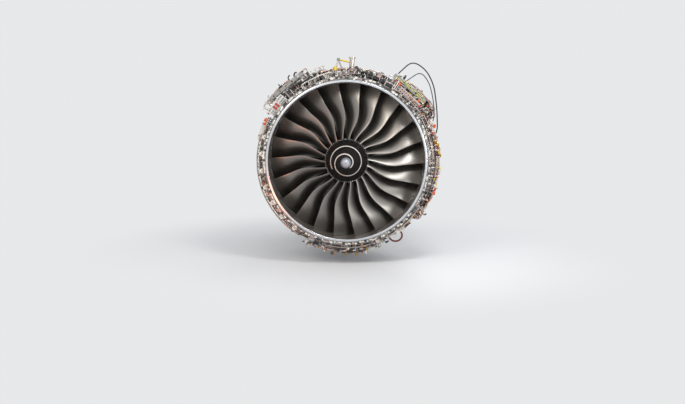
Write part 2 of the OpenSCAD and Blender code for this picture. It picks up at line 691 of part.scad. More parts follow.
shaft_rear = radial_station - mitre_r * bevel_face;
module transfer_shaft() {
    color("#a3a5a8") translate([0, 0, gear_z]) union() {
        translate([0, radial_station, 0]) rotate([90, 0, 0]) {
            bevel(mitre_teeth, mitre_module, mitre_r, 90 + 180 / mitre_teeth);
            translate([0, 0, mitre_r]) cylinder(r = mitre_r - 12, h = 8);
        }
        translate([0, gearbox_front - 6, 0]) along_axis()
            cylinder(r = 18, h = shaft_rear - gearbox_front + 6);
    }
}

// Housing round the lower bevel set, with the tube that carries the transfer shaft forwards
module angle_gearbox() {
    body = mitre_r + 34;
    pocket = mitre_r + 26;
    tube_front = gearbox_front + gearbox_depth + seat;
    color("#b3b1ab") difference() {
        union() {
            translate([0, radial_station, gear_z - body])
                cylinder(r = body, h = body + gear_axis_r - rear_case_out - 62);
            translate([0, tube_front, gear_z]) along_axis() cylinder(r = 40, h = radial_station - tube_front);
            translate([0, radial_station, -rear_case_out - 66]) cylinder(r = 62, h = 66 - seat);
            translate([0, tube_front, gear_z]) along_axis() cylinder(r = 58, h = 12);
            translate([0, radial_station - pocket, gear_z]) along_axis()
                cylinder(r = mitre_r + 22, h = pocket);
        }
        translate([0, radial_station - pocket + 12, gear_z]) along_axis()
            cylinder(r = mitre_r + 9, h = pocket);
        translate([0, radial_station, gear_z - mitre_r - 14])
            cylinder(r = mitre_r + 17, h = 2 * mitre_r + 44);
        translate([0, radial_station, gear_z]) cylinder(r = radial_shaft_r + 10, h = 400);
        translate([0, tube_front - 1, gear_z]) along_axis() cylinder(r = 26, h = radial_station - tube_front);
    }
}

// Accessory gearbox: five equal gears on an arc under the fan case
gear_r = gear_module * gear_teeth / 2;
gear_step = 2 * asin(gear_r / gear_axis_r);
gear_clocks = [for (i = [-2:2]) 180 + i * gear_step];
gearbox_depth = gear_width + 60;
box_wall = 12;
gear_room = gear_r + gear_module + 8;
box_reach = 2 * gear_step + 5.2;
cover_depth = 18;

module gearbox_ring(from, to, inner, outer, front, rear) {
    swept(from, to) translate([inner, front]) square([outer - inner, rear - front]);
}

module accessory_gearbox() {
    rear = gearbox_front + gearbox_depth;
    color("#b7b5af") difference() {
        union() {
            gearbox_ring(180 - box_reach, 180 + box_reach, gear_axis_r - gear_room, gear_axis_r + gear_room,
                gearbox_front + cover_depth + seat, rear);
            for (c = [gear_clocks[0], gear_clocks[4]]) at_clock(c, case_out + 50, rear - 50)
                translate([-20, 0, 0]) cube([40, 30, gear_axis_r - gear_room - case_out - 44]);
            for (c = [175.5, 184.5]) {
                radial_rod(c, rear - 50, gear_axis_r + gear_room - 8, gear_axis_r + gear_room + 58, 30);
                radial_rod(c, rear - 50, gear_axis_r + gear_room - 8, gear_axis_r + gear_room + 10, 38);
            }
        }
        gearbox_ring(180 - box_reach + 0.5, 180 + box_reach - 0.5, gear_axis_r - gear_room + box_wall - 6,
            gear_axis_r + gear_room - box_wall + 6, gearbox_front, rear - 14);
        for (c = gear_clocks) axial_rod(c, gear_axis_r, rear - 20, rear + 1, 18 + fit);
    }
}

module gearbox_cover() {
    color("#c2c0ba") difference() {
        union() {
            gearbox_ring(180 - box_reach, 180 + box_reach, gear_axis_r - gear_room, gear_axis_r + gear_room,
                gearbox_front, gearbox_front + cover_depth);
            for (c = gear_clocks) axial_rod(c, gear_axis_r, gearbox_front - 8, gearbox_front + 4, 46);
        }
        for (c = gear_clocks) axial_rod(c, gear_axis_r, gearbox_front - 20, gearbox_front + 40, 18 + fit);
    }
}

// Involute tooth flank: angle of the flank at radius r for a gear of pitch radius rp
pressure = 20;
function involute(a) = tan(a) * 180 / PI - a;
function flank(r, rp) = let (rb = rp * cos(pressure))
    r <= rb ? involute(pressure) : involute(pressure) - involute(acos(rb / r));
backlash = 0.05;
module spur(start) {
    half = 90 / gear_teeth * (1 - 4 * backlash / gear_module);
    tip = gear_r + 0.85 * gear_module;
    root = gear_r - 1.15 * gear_module;
    radii = [root, gear_r - 0.4 * gear_module, gear_r + 0.25 * gear_module, tip];
    tooth = concat([for (r = radii) [r, -half - flank(r, gear_r)]],
        [for (i = [3:-1:0]) [radii[i], half + flank(radii[i], gear_r)]]);
    polygon([for (i = [0:gear_teeth - 1]) for (q = tooth) let (a = start + i * 360 / gear_teeth + q[1])
        [q[0] * cos(a), q[0] * sin(a)]]);
}

// Clock angle of a tooth on each gear, so that neighbours are in mesh at rest
function mesh_angle(from_angle, direction) = 2 * direction + 180 - from_angle + 180 / gear_teeth;
function heading(i, j) = let (a = gear_clocks[i], b = gear_clocks[j])
    atan2(cos(b) - cos(a), sin(b) - sin(a));
drive_tooth = 90;
starter_tooth = mesh_angle(drive_tooth, heading(2, 1));
generator_tooth = mesh_angle(drive_tooth, heading(2, 3));
fuel_tooth = mesh_angle(starter_tooth, heading(1, 0));
hydraulic_tooth = mesh_angle(generator_tooth, heading(3, 4));

module accessory_gear(index, tooth, shade) {
    front = gearbox_front + cover_depth + 14;
    rear = gearbox_front + gearbox_depth;
    c = gear_clocks[index];
    color(shade) translate([gear_axis_r * sin(c), 0, gear_axis_r * cos(c)]) difference() {
        union() {
            translate([0, front + gear_width, 0]) rotate([90, 0, 0]) linear_extrude(gear_width) spur(tooth);
            if (index == 2) translate([0, front - 8, 0]) along_axis() cylinder(r = 34, h = gear_width + 16);
            else translate([0, gearbox_front - 6, 0]) along_axis()
                cylinder(r = 18, h = rear - gearbox_front + 6);
        }
        for (a = [0:60:300]) rotate([0, a, 0]) translate([0, front - 1, 52])
            along_axis() cylinder(r = 12, h = gear_width + 2);
        if (index == 2) translate([0, gearbox_front, 0]) along_axis() cylinder(r = 18 + fit, h = 300);
    }
}
module drive_gear() accessory_gear(2, drive_tooth, "#a8a9ab");
module starter_gear() accessory_gear(1, starter_tooth, "#b0a890");
module generator_gear() accessory_gear(3, generator_tooth, "#b0a890");
module fuel_pump_gear() accessory_gear(0, fuel_tooth, "#a8a9ab");
module hydraulic_pump_gear() accessory_gear(4, hydraulic_tooth, "#a8a9ab");

// Accessories bolted to the gearbox faces
module machine(index, front, steps, shade) {
    color(shade) for (i = [0:len(steps) - 2]) {
        axial_rod(gear_clocks[index], gear_axis_r, front + steps[i][0], front + steps[i + 1][0], steps[i][1]);
    }
}
gearbox_rear = gearbox_front + gearbox_depth;
module air_starter() {
    machine(1, gearbox_rear + seat, [[0, 78], [14, 62], [60, 84], [150, 70], [190, 46], [230, 0]], "#c9c7c1");
    color("#c9c7c1") at_clock(gear_clocks[1], gear_axis_r, gearbox_rear + 110) rotate([0, 110, 0])
        cylinder(r = 36, h = 120);
}
module generator() {
    machine(3, gearbox_rear + seat, [[0, 78], [14, 70], [40, 88], [220, 76], [250, 0]], "#8f8d8a");
    color("#4b4844") for (k = [0:4]) axial_rod(gear_clocks[3], gear_axis_r, gearbox_rear + 60 + 32 * k,
        gearbox_rear + 70 + 32 * k, 92);
}
module fuel_pump() {
    machine(0, gearbox_rear + seat, [[0, 74], [16, 66], [90, 74], [130, 50], [180, 0]], "#a59a84");
    color("#a59a84") at_clock(gear_clocks[0], gear_axis_r, gearbox_rear + 60) rotate([0, -70, 0])
        cylinder(r = 24, h = 110);
}
module hydraulic_pump() {
    machine(4, gearbox_rear + seat, [[0, 74], [16, 58], [120, 66], [160, 40], [200, 0]], "#b3aea6");
    color("#b3aea6") at_clock(gear_clocks[4], gear_axis_r, gearbox_rear + 80) rotate([0, 70, 0])
        cylinder(r = 20, h = 110);
}

// Oil tank on the left of the fan case
tank_clock = [246, 270];
tank_front = 560;
module oil_tank() {
    color("#d9d8d2") union() {
        swept(tank_clock[0], tank_clock[1]) translate([case_out + 52, tank_front]) square([130, 330]);
        for (c = [tank_clock[0] + 3, tank_clock[1] - 3]) for (y = [tank_front + 30, tank_front + 220])
            at_clock(c, case_r(y) + seat, y) translate([-20, 0, 0]) cube([40, 30, case_out + 54 - case_r(y)]);
        radial_rod(tank_clock[1] - 5, tank_front + 70, case_out + 150, case_out + 222, 42);
    }
}

// Fuel-oil heat exchanger on the lower right
module heat_exchanger() {
    clock = 146;
    stand_off = 110;
    color("#77716a") union() {
        at_clock(clock, case_out + stand_off, 300) along_axis() cylinder(r = 60, h = 460);
        for (y = [300, 480, 740])
            at_clock(clock, case_out + stand_off, y) along_axis() cylinder(r = 74, h = 20);
        for (y = [340, 690]) at_clock(clock, case_r(y) + seat, y) translate([-30, 0, 0]) cube([60, 26, 60]);
        for (y = [360, 680]) radial_rod(clock, y, case_out + stand_off + 30, case_out + stand_off + 90, 22);
    }
}

// Combustor: outer case, annular liner, injectors and manifold
combustor_front = high_end + 54 + seat;
combustor_end = 3400;
injector_station = combustor_front + 80;
injector_r = 440;
liner_half = 88;
module combustor_case() {
    color("#8e7f6e") difference() {
        union() {
            turned([[combustor_r - 14, combustor_front], [combustor_r + 26, combustor_front],
                [combustor_r + 26, combustor_front + 14], [combustor_r, combustor_front + 14],
                [combustor_r, combustor_end - 14], [combustor_r + 30, combustor_end - 14],
                [combustor_r + 30, combustor_end], [combustor_r - 14, combustor_end]]);
            around(injector_count) radial_rod(0, injector_station, combustor_r - 8, combustor_r + 10, 34);
        }
        around(injector_count) radial_rod(0, injector_station, combustor_r - 60, combustor_r + 60, 20);
    }
}

module combustor_liner() {
    front = injector_station - 20;
    inner = injector_r - liner_half;
    outer = injector_r + liner_half;
    color("#7b6a58") difference() {
        union() {
            turned([[outer - 8, front + 90], [outer, front + 90], [outer, combustor_end - 30],
                [combustor_r - 14 - seat, combustor_end - 30],
                [combustor_r - 14 - seat, combustor_end - 22], [outer - 28, combustor_end - 22],
                [outer - 28, combustor_end - 30],
                [outer - 8, combustor_end - 60]]);
            turned([[inner, front + 90], [inner + 8, front + 90], [inner + 20, combustor_end - 30],
                [inner + 12, combustor_end - 30]]);
            turned([[inner, front + 82], [outer, front + 82], [outer, front + 96], [inner, front + 96]]);
            for (k = [0:3]) hoop(outer - 2, outer + 4, front + 130 + k * 70, front + 138 + k * 70);
        }
        around(injector_count) axial_rod(0, injector_r, front + 70, front + 110, 30);
        for (k = [0:1]) around(injector_count, 9 * k)
            radial_rod(0, front + 200 + k * 90, outer - 28, outer + 32, 12);
    }
}

module fuel_injectors() {
    color("#9c948a") around(injector_count) {
        radial_rod(0, injector_station, injector_r - 10, combustor_r + 10 + seat, 13);
        radial_rod(0, injector_station, combustor_r + 10 + seat, combustor_r + 24, 32);
        radial_rod(0, injector_station, combustor_r + 24, combustor_r + 58, 14);
        axial_rod(0, injector_r, injector_station - 13, injector_station + 62, 20);
    }
}

module fuel_manifold() {
    color("#b9b7b2") {
        along_axis() translate([0, 0, injector_station + 50]) rotate_extrude()
            translate([combustor_r + 46, 0]) circle(r = 9);
        around(injector_count) {
            axial_rod(0, combustor_r + 46, injector_station + 14 + seat, injector_station + 44, 7);
            axial_rod(0, combustor_r + 46, injector_station + 14 + seat, injector_station + 26, 11);
        }
    }
}

// Turbines: one high-pressure, two intermediate-pressure and the low-pressure rows
core_turbine_station = 3515;
ipt_stations = [3690, 3830];
lpt_front = 3990;
lpt_pitch = 112;
lpt_end = lpt_front + 6 * lpt_pitch;
turbine_end = lpt_end + 20;
function turbine_outer(y) = lookup(y, [[3400, 540], [3560, 560], [3900, 640], [3980, 672], [4680, 815]]);
function turbine_inner(y) = lookup(y, [[3400, 432], [3560, 430], [3900, 440], [3980, 448], [4680, 478]]);
module turbine_case() {
    skin = 14;
    stations = [3400 + seat, 3560, 3900, 3980, turbine_end];
    inner = [for (y = stations) [turbine_outer(y), y]];
    outer = [for (i = [len(stations) - 1:-1:0]) [turbine_outer(stations[i]) + skin, stations[i]]];
    color("#85776a") union() {
        turned(concat(inner, outer));
        hoop(turbine_outer(3401) + 4, combustor_r + 30, combustor_end + seat, combustor_end + 14);
        for (y = [3640, 3900, 3946]) hoop(turbine_outer(y) + 4, turbine_outer(y) + skin + 36, y - 8, y + 8);
        for (y = [4120, 4260, 4400, 4540])
            hoop(turbine_outer(y) + 4, turbine_outer(y) + skin + 14, y - 10, y + 10);
        hoop(turbine_outer(turbine_end) + 2, turbine_outer(turbine_end) + skin + 36,
            turbine_end - 16, turbine_end);
        for (y = [3440, 3610, 3762])
            blade_row(row_blades, y, turbine_inner(y) + 6, turbine_outer(y) + 6, 44, 9, -28);
        for (k = [0:low_rows - 1]) let (y = lpt_front - 36 + k * lpt_pitch)
            blade_row(row_blades, y, turbine_inner(y) + 6, turbine_outer(y) + 6, 40, 7, -26);
    }
}

// A turbine disc with its blades on a given shaft radius
module turbine_wheel(station, bore, chord) {
    rim = turbine_inner(station) - 2;
    union() {
        turned([[bore, station - 32], [bore + 40, station - 32], [bore + 70, station - 9],
            [rim - 20, station - 9],
            [rim - 12, station - chord / 2], [rim, station - chord / 2], [rim, station + chord / 2],
            [rim - 12, station + chord / 2], [rim - 20, station + 9], [bore + 70, station + 9],
            [bore + 40, station + 32], [bore, station + 32]]);
        blade_row(row_blades + 6, station, rim - 4, turbine_outer(station) - row_gap - 10,
            chord * 0.9, 9, 30);
    }
}

module high_turbine() {
    color("#7d7770") union() {
        turbine_wheel(core_turbine_station, high_shaft_r - 2, 56);
        hoop(high_shaft_r - shaft_wall, high_shaft_r, high_end + 120 + seat, core_turbine_station + 60);
        hoop(high_shaft_r - 2, high_shaft_r + 20, high_end + 120 + seat, high_end + 140);
    }
}

module mid_turbine() {
    color("#827a70") union() {
        for (y = ipt_stations) turbine_wheel(y, mid_shaft_r - 2, 52);
        hoop(mid_shaft_r - shaft_wall, mid_shaft_r, 1760 + seat, ipt_stations[1] + 50);
        hoop(turbine_inner(3700) - 60, turbine_inner(3700) - 48, ipt_stations[0] + 6, ipt_stations[1] - 6);
    }
}

module low_turbine() {
    color("#7a746c") union() {
        for (k = [0:low_rows - 1]) let (y = lpt_front + 20 + k * lpt_pitch) {
            rim = turbine_inner(y) - 2;
            turned([[220, y - 20], [260, y - 20], [280, y - 6], [rim - 14, y - 6], [rim - 10, y - 22],
                [rim, y - 22],
                [rim, y + 22], [rim - 10, y + 22], [rim - 14, y + 6], [280, y + 6], [260, y + 20],
                [220, y + 20]]);
            blade_row(row_blades, y, rim - 4, turbine_outer(y) - row_gap - 12, 38, 7, 28);
        }
        for (k = [0:low_rows - 2]) let (y = lpt_front + 20 + k * lpt_pitch)
            hoop(turbine_inner(y) - 40, turbine_inner(y) - 28, y + 4, y + lpt_pitch - 4);
        turned([[low_shaft_r - 2, 4330], [low_shaft_r + 40, 4330], [turbine_inner(4340) - 100, 4370],
            [turbine_inner(4340) - 28, 4370], [turbine_inner(4340) - 28, 4384],
            [turbine_inner(4340) - 104, 4384],
            [low_shaft_r + 30, 4350], [low_shaft_r + 30, 4440], [low_shaft_r - 2, 4440]]);
        hoop(low_shaft_r - shaft_wall, low_shaft_r - 1, 4300, 4760);
    }
}

module low_shaft() {
    rear = 4300 - seat;
    color("#85888c") union() {
        hoop(low_shaft_r - shaft_wall, low_shaft_r, disc_rear - 60, rear);
        turned([[low_shaft_r - 1, disc_rear + seat], [low_shaft_r + 92, disc_rear + seat],
            [low_shaft_r + 92, disc_rear + 20], [low_shaft_r + 30, disc_rear + 60],
            [low_shaft_r - 1, disc_rear + 130]]);
    }
}

// Rolling bearings: an outer race, an inner race and the rollers or balls between them
module bearing(station, inner, depth, width, count, ball) {
    race = depth * 0.28;
    middle = inner + depth / 2;
    r = depth / 2 - race - seat;
    hoop(inner + fit, inner + race, station - width / 2, station + width / 2);
    hoop(inner + depth - race, inner + depth - fit, station - width / 2, station + width / 2);
    around(count) {
        if (ball) translate([0, station, middle]) sphere(r = r, $fn = 48);
        else axial_rod(0, middle, station - width * 0.4, station + width * 0.4, r);
    }
}
module front_roller_bearing() {
    color("#c3c5c8") bearing(front_bearing_station, low_shaft_r, bearing_wall + 26, 60, 16, false);
}
module thrust_bearings() {
    color("#c3c5c8") {
        bearing(1784, mid_shaft_r, 32, 56, 20, true);
        bearing(2205, high_shaft_r, 50, 50, 20, true);
    }
}
module rear_roller_bearings() {
    color("#c3c5c8") bearing(4700, low_shaft_r - 1, 40, 46, 18, false);
}

// Tail bearing housing and the cone behind it
tail_front = turbine_end + seat;
tail_end = 5010;
tail_struts = 12;
module tail_bearing_housing() {
    outer_r = turbine_outer(turbine_end);
    color("#8b8178") union() {
        turned([[outer_r, tail_front], [outer_r + 50, tail_front], [outer_r + 50, tail_front + 16],
            [outer_r + 16, tail_front + 16], [outer_r - 6, tail_end - 14], [outer_r + 26, tail_end - 14],
            [outer_r + 26, tail_end], [outer_r - 22, tail_end]]);
        turned([[466, tail_front + 10], [478, tail_front + 10], [470, tail_end], [456, tail_end]]);
        blade_row(tail_struts, 4850, 462, outer_r - 4, 200, 30, 4);
        turned([[low_shaft_r + 39, 4672], [low_shaft_r + 52, 4672], [low_shaft_r + 52, 4720], [468, 4800],
            [468, 4816], [low_shaft_r + 52, 4736], [low_shaft_r + 39, 4730]]);
    }
}

module exhaust_cone() {
    length = 400;
    front = tail_end + seat;
    outer = [for (i = [0:8]) let (t = i / 8) [456 * pow(1 - t * t * 0.995, 0.8), front + length * t]];
    inner = [for (i = [7:-1:0]) [outer[i][0] - 8, outer[i][1]]];
    color("#7c746c") turned(concat(outer, [[0, front + length], [0, front + length - 10]], inner));
}

// Mounts that hang the engine from its pylon
front_mount_station = 2100;
module front_mount() {
    base = duct_inner_r + seat;
    color("#70767c") difference() {
        union() {
            swept(-14, 14) translate([base, front_mount_station - 90]) square([26, 180]);
            translate([-130, front_mount_station - 70, base + 4]) cube([260, 140, 120]);
            translate([-170, front_mount_station - 90, base + 110]) cube([340, 180, 36]);
        }
        translate([-60, front_mount_station - 100, base + 40]) cube([120, 200, 50]);
        for (x = [-130, 130]) for (y = [-60, 60]) translate([x, front_mount_station + y, base + 60])
            cylinder(r = 12, h = 120);
    }
}

rear_mount_station = 4860;
module rear_mount() {
    base = turbine_outer(turbine_end) + 52;
    color("#70767c") difference() {
        union() {
            translate([-150, rear_mount_station - 60, base - 60]) cube([300, 120, 80]);
            for (x = [-90, 60]) translate([x, rear_mount_station - 34, base + 10]) {
                cube([30, 68, 70]);
                translate([0, 34, 70]) rotate([0, 90, 0]) cylinder(r = 34, h = 30);
            }
        }
        translate([-100, rear_mount_station, base + 80]) rotate([0, 90, 0]) cylinder(r = 19, h = 200);
        along_axis() translate([0, 0, tail_front + 16]) cylinder(r1 = turbine_outer(turbine_end) + 16 + seat,
            r2 = turbine_outer(turbine_end) - 6 + seat, h = tail_end - 30 - tail_front);
        hoop(0, 862, rear_mount_station - 200, rear_mount_station - 100);
    }
}

// A round bar between two points
module bar(a, b, r) {
    d = b - a;
    translate(a) rotate([0, acos(d[2] / norm(d)), atan2(d[1], d[0])]) cylinder(r = r, h = norm(d));
}

module thrust_struts() {
    color("#9b9ea1") for (s = [-1, 1]) {
        front = place([s * 32.4, duct_inner_r + 44 + seat, intercase_end - 60]);
        rear = [s * 210, rear_mount_station - 30, turbine_outer(turbine_end) + 62];
        bar(front, rear, 26);
        translate(front) sphere(r = 44);
        translate(rear) sphere(r = 44);
    }
}

// Triangular brackets from the flange out to the service rail, on the left
rail_clock = [206, 300];
rail_station = 70;
gusset_step = (rail_clock[1] - rail_clock[0] - 14) / gusset_count;
module gusset_brackets() {
    reach = rail_r - flange_r;
    color("#e4e1d8") for (i = [0:gusset_count - 1]) at_clock(rail_clock[0] + 12 + i * gusset_step, 0, 0) {
        translate([0, flange_thickness + seat, 0]) rotate([-90, 0, 0]) linear_extrude(10) difference() {
            polygon([[-95, -flange_r + 55], [95, -flange_r + 55], [22, -rail_r + 2], [-22, -rail_r + 2]]);
            translate([0, -flange_r - reach * 0.35]) circle(r = reach * 0.2);
        }
        translate([-5, flange_thickness + 8, flange_r + 4])
            cube([10, rail_station - flange_thickness - 6, reach - 6]);
    }
}

module service_rail() {
    color("#dddad2") union() {
        swept(rail_clock[0], rail_clock[1]) translate([rail_r, rail_station + seat]) square([8, 90]);
        swept(rail_clock[0], rail_clock[1]) translate([rail_r - 20, rail_station + 90]) square([28, 8]);
        for (i = [0:gusset_count - 1])
            at_clock(rail_clock[0] + 18 + i * gusset_step, case_out + seat, rail_station + 91)
                translate([-14, 0, 0]) cube([28, 6, rail_r - case_out - seat - 2]);
    }
}

// Height over the axis of a round surface at a distance x from its middle, with room to seat
function chord_height(r, x) = sqrt(pow(r + seat, 2) - x * x);

// Straight channel beams over the upper left and right of the case
beam_clocks = [-39, 40.9];
beam_r = 1800;
module upper_beams() {
    color("#8e9094") for (c = beam_clocks) at_clock(c, beam_r, 150) union() {
        translate([-beam_length / 2, 0, 0]) difference() {
            cube([beam_length, 120, 70]);
            translate([-1, 10, 10]) cube([beam_length + 2, 120, 50]);
            for (x = [0.12:0.19:0.9])
                translate([beam_length * x, -1, 35]) rotate([-90, 0, 0]) cylinder(r = 18, h = 20);
        }
        for (x = [-0.1, 0.42])
            let (foot = chord_height(case_out + rib_height, abs(beam_length * x) - 15) - beam_r)
                translate([beam_length * x - 15, 20, foot]) cube([30, 60, 1 - foot]);
    }
    color("#8e9094") difference() {
        at_clock(22, case_out + seat, 120) translate([-30, 0, 0]) cube([60, 60, 200]);
        axial_rod(22, 1765, 100, 220, 22);
    }
    color("#8e9094") difference() {
        axial_rod(22, 1765, 104, 196, 52);
        axial_rod(22, 1765, 100, 220, 22);
    }
}

// Electronic control box on the upper left
box_clock = 309;
module control_box() {
    color("#dcdad6") union() {
        at_clock(box_clock, case_out + 64, 60) translate([-205, 0, 0]) cube([410, 330, 170]);
        for (x = [-150, 110]) for (y = [100, 340]) at_clock(box_clock, 0, 0)
            let (foot = chord_height(case_r(y), 110))
                translate([x, y, foot]) cube([40, 30, case_out + 65 - foot]);
    }
    color("#c4342c") at_clock(box_clock, case_out + 64, 60) for (x = [-60, 10]) for (z = [60, 110])
        translate([x, 0.2, z]) rotate([90, 0, 0]) cylinder(r = 20, h = 26);
}

// Hollow elbow and riser of the bleed duct at the top
module bleed_duct() {
    r = duct_bore_r + 6;
    color("#c9c7c6") difference() {
        union() {
            radial_rod(3, 330, case_out + 30, 1980, r);
            radial_rod(3, 330, case_out + 22 + seat, case_out + 44, r + 22);
            radial_rod(3, 330, 1958, 1980, r + 18);
            axial_rod(3, 1700, 330, 900, r);
            axial_rod(3, 1700, 640, 664, r + 14);
            for (y = [700, 870]) at_clock(3, case_r(y) + seat, y) translate([-20, 0, 0]) cube([40, 24, 110]);
        }
        radial_rod(3, 330, 1690, 1990, duct_bore_r);
        axial_rod(3, 1700, 330, 910, duct_bore_r);
    }
}

// A round pipe through points, with bends of a given radius
bend_swell = 1;
function unit(v) = v / norm(v);
function place(p) = [p[1] * sin(p[0]), p[2], p[1] * cos(p[0])];
module pipe_bend(before, corner, after, r, bend) {
    u = unit(corner - before);
    v = unit(after - corner);
    turn = acos(min(1, max(-1, u * v)));
    cut = bend * tan(turn / 2);
    w = unit(cross(u, v));
    q = cross(w, u);
    p = corner - u * cut;
    multmatrix([[-q[0], u[0], w[0], p[0] + q[0] * bend], [-q[1], u[1], w[1], p[1] + q[1] * bend],
        [-q[2], u[2], w[2], p[2] + q[2] * bend], [0, 0, 0, 1]])
        rotate_extrude(angle = turn, $fn = 48) translate([bend, 0]) circle(r = r + bend_swell, $fn = 32);
}
function cut_at(points, i, bend) = i == 0 || i == len(points) - 1 ? 0 : let (
    u = unit(points[i] - points[i - 1]),
    v = unit(points[i + 1] - points[i])
) bend * tan(acos(min(1, max(-1, u * v))) / 2);
module pipe(route, r, bend) {
    points = [for (p = route) place(p)];
    last = len(points) - 1;
    for (i = [0:last - 1]) let (u = unit(points[i + 1] - points[i]))
        bar(points[i] + u * (cut_at(points, i, bend) - 1),
            points[i + 1] - u * (cut_at(points, i + 1, bend) - 1), r, $fn = 32);
    for (i = [1:last - 1]) pipe_bend(points[i - 1], points[i], points[i + 1], r, bend);
}

// Routes are [clock angle, radius, station]
pipe_routes = [
    [[62, 1630, 250], [70, 1640, 180], [84, 1640, 180], [98, 1640, 180], [112, 1640, 200], [118, 1640, 500],
        [124, 1640, 1000]],
    [[48, 1680, 330], [58, 1700, 300], [72, 1700, 300], [86, 1710, 300], [100, 1700, 300], [108, 1700, 520],
        [112, 1690, 1010]],
    [[210, 1640, 300], [224, 1640, 280], [238, 1640, 260], [252, 1640, 260], [266, 1640, 260],
        [280, 1640, 280], [292, 1640, 300]],
    [[334, 1640, 230], [344, 1660, 140], [352, 1680, 140], [357, 1660, 260], [354, 1640, 700]],
    [[55, 1690, 240], [66, 1755, 150], [80, 1778, 150], [94, 1780, 170], [106, 1760, 210], [116, 1700, 700]],
    [[125, 1640, 240], [138, 1650, 200], [152, 1650, 200], [163, 1660, 220], [168, 1690, 420],
        [166, 1680, 900]]
];
module service_pipes() {
    color("#c2b4ae") for (route = pipe_routes) {
        pipe(route, 15, 60);
        for (k = [0, len(route) - 1]) let (p = route[k])
            radial_rod(p[0], p[2], case_r(p[2]) + seat, p[1] + 2, 12);
    }
}

fan_case();
fan_track_liner();
rear_fan_case();
outlet_guide_vanes();
core_fairing();
fan_blades();
fan_disc();
annulus_fillers();
spinner();
spinner_nose();
spinner_bolts();
front_bearing_frame();
inlet_guide_vanes();
unison_ring();
vane_actuator();
actuator_ram();
mid_compressor_case();
intercase();
high_compressor_case();
combustor_case();
combustor_liner();
fuel_injectors();
fuel_manifold();
turbine_case();
tail_bearing_housing();
exhaust_cone();
low_shaft();
low_turbine();
mid_compressor();
mid_turbine();
high_compressor();
high_turbine();
front_roller_bearing();
thrust_bearings();
rear_roller_bearings();
radial_drive_shaft();
transfer_shaft();
angle_gearbox();
accessory_gearbox();
gearbox_cover();
drive_gear();
starter_gear();
generator_gear();
fuel_pump_gear();
hydraulic_pump_gear();
air_starter();
generator();
fuel_pump();
hydraulic_pump();
oil_tank();
heat_exchanger();
front_mount();
rear_mount();
thrust_struts();
gusset_brackets();
service_rail();
upper_beams();
control_box();
bleed_duct();
service_pipes();
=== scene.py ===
"""Dresses a packed three-shaft turbofan: fan blades, spinner, case services, core fittings and finishes."""

import json
import logging
import math
import random
from dataclasses import dataclass
from enum import Enum

import bmesh
import bpy
from mathutils import Matrix, Vector

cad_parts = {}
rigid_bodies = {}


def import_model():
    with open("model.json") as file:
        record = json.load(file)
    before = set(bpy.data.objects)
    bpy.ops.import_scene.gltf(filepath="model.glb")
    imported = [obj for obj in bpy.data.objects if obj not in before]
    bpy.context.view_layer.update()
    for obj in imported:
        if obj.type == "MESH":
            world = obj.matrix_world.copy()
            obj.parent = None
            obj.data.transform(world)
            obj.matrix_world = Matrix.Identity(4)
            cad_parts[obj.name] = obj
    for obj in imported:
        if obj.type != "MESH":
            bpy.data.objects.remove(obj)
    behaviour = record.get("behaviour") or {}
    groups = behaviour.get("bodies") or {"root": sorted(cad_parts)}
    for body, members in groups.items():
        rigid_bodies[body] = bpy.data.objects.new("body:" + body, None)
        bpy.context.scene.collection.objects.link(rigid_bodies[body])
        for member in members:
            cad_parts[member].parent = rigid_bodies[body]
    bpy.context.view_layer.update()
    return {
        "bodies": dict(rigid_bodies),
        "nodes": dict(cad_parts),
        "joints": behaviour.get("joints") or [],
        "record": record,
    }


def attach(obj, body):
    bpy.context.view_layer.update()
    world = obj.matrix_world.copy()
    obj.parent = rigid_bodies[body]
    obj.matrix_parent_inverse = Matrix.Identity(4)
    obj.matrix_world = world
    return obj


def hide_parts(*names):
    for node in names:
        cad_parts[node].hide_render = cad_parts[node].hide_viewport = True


log = logging.getLogger("turbofan")

Stop = tuple[float, float, float]
Given = bpy.types.NodeSocket | float | tuple[float, ...]

FACE_FORWARD = Matrix.Rotation(math.radians(90), 4, "X")
SUNK = 0.002
SPECKLE_FINENESS = 14
SPECKLE_DEPTH = 0.0015


class Body(Enum):
    """The bodies that pieces of the scene ride on."""

    ENGINE = "engine"
    FAN = "low_spool"


class Grain(Enum):
    """Which way the fine marks of a metal surface run."""

    EVEN = (1.0, 1.0, 1.0)
    ROUND_AXIS = (0.35, 1.0, 0.35)


# ---------------------------------------------------------------- places


def on_clock(clock: float, radius: float, station: float) -> Vector:
    """Gives a point from its clock angle.

    Args:
        clock: Degrees clockwise from the top, seen from the front.
        radius: Distance from the engine's axis in metres.
        station: Distance behind the inlet flange in metres.

    Returns:
        The point in the engine's frame.
    """
    a = math.radians(clock)
    return Vector((radius * math.sin(a), station, radius * math.cos(a)))


def clock_frame(clock: float, radius: float, station: float) -> Matrix:
    """Gives a frame whose Z points outwards and whose Y runs aft.

    Args:
        clock: Degrees clockwise from the top.
        radius: Distance from the axis in metres.
        station: Distance behind the inlet flange in metres.

    Returns:
        A 4 by 4 matrix.
    """
    return Matrix.Translation(on_clock(clock, radius, station)) @ Matrix.Rotation(math.radians(clock), 4, "Y")


def aimed(point: Vector, direction: Vector) -> Matrix:
    """Gives a frame at a point whose Z runs along a direction."""
    turn = direction.to_track_quat("Z", "Y").to_matrix().to_4x4()
    return Matrix.Translation(point) @ turn


def case_surface(station: float) -> float:
    """Gives the radius of the fan case's outer skin.

    Args:
        station: The distance behind the inlet flange in metres.

    Returns:
        The radius in metres.
    """
    if station < 0.022:
        return 1.603
    if 0.3 < station < 0.748:
        return 1.565
    return 1.543 if station < 1.08 else 1.48


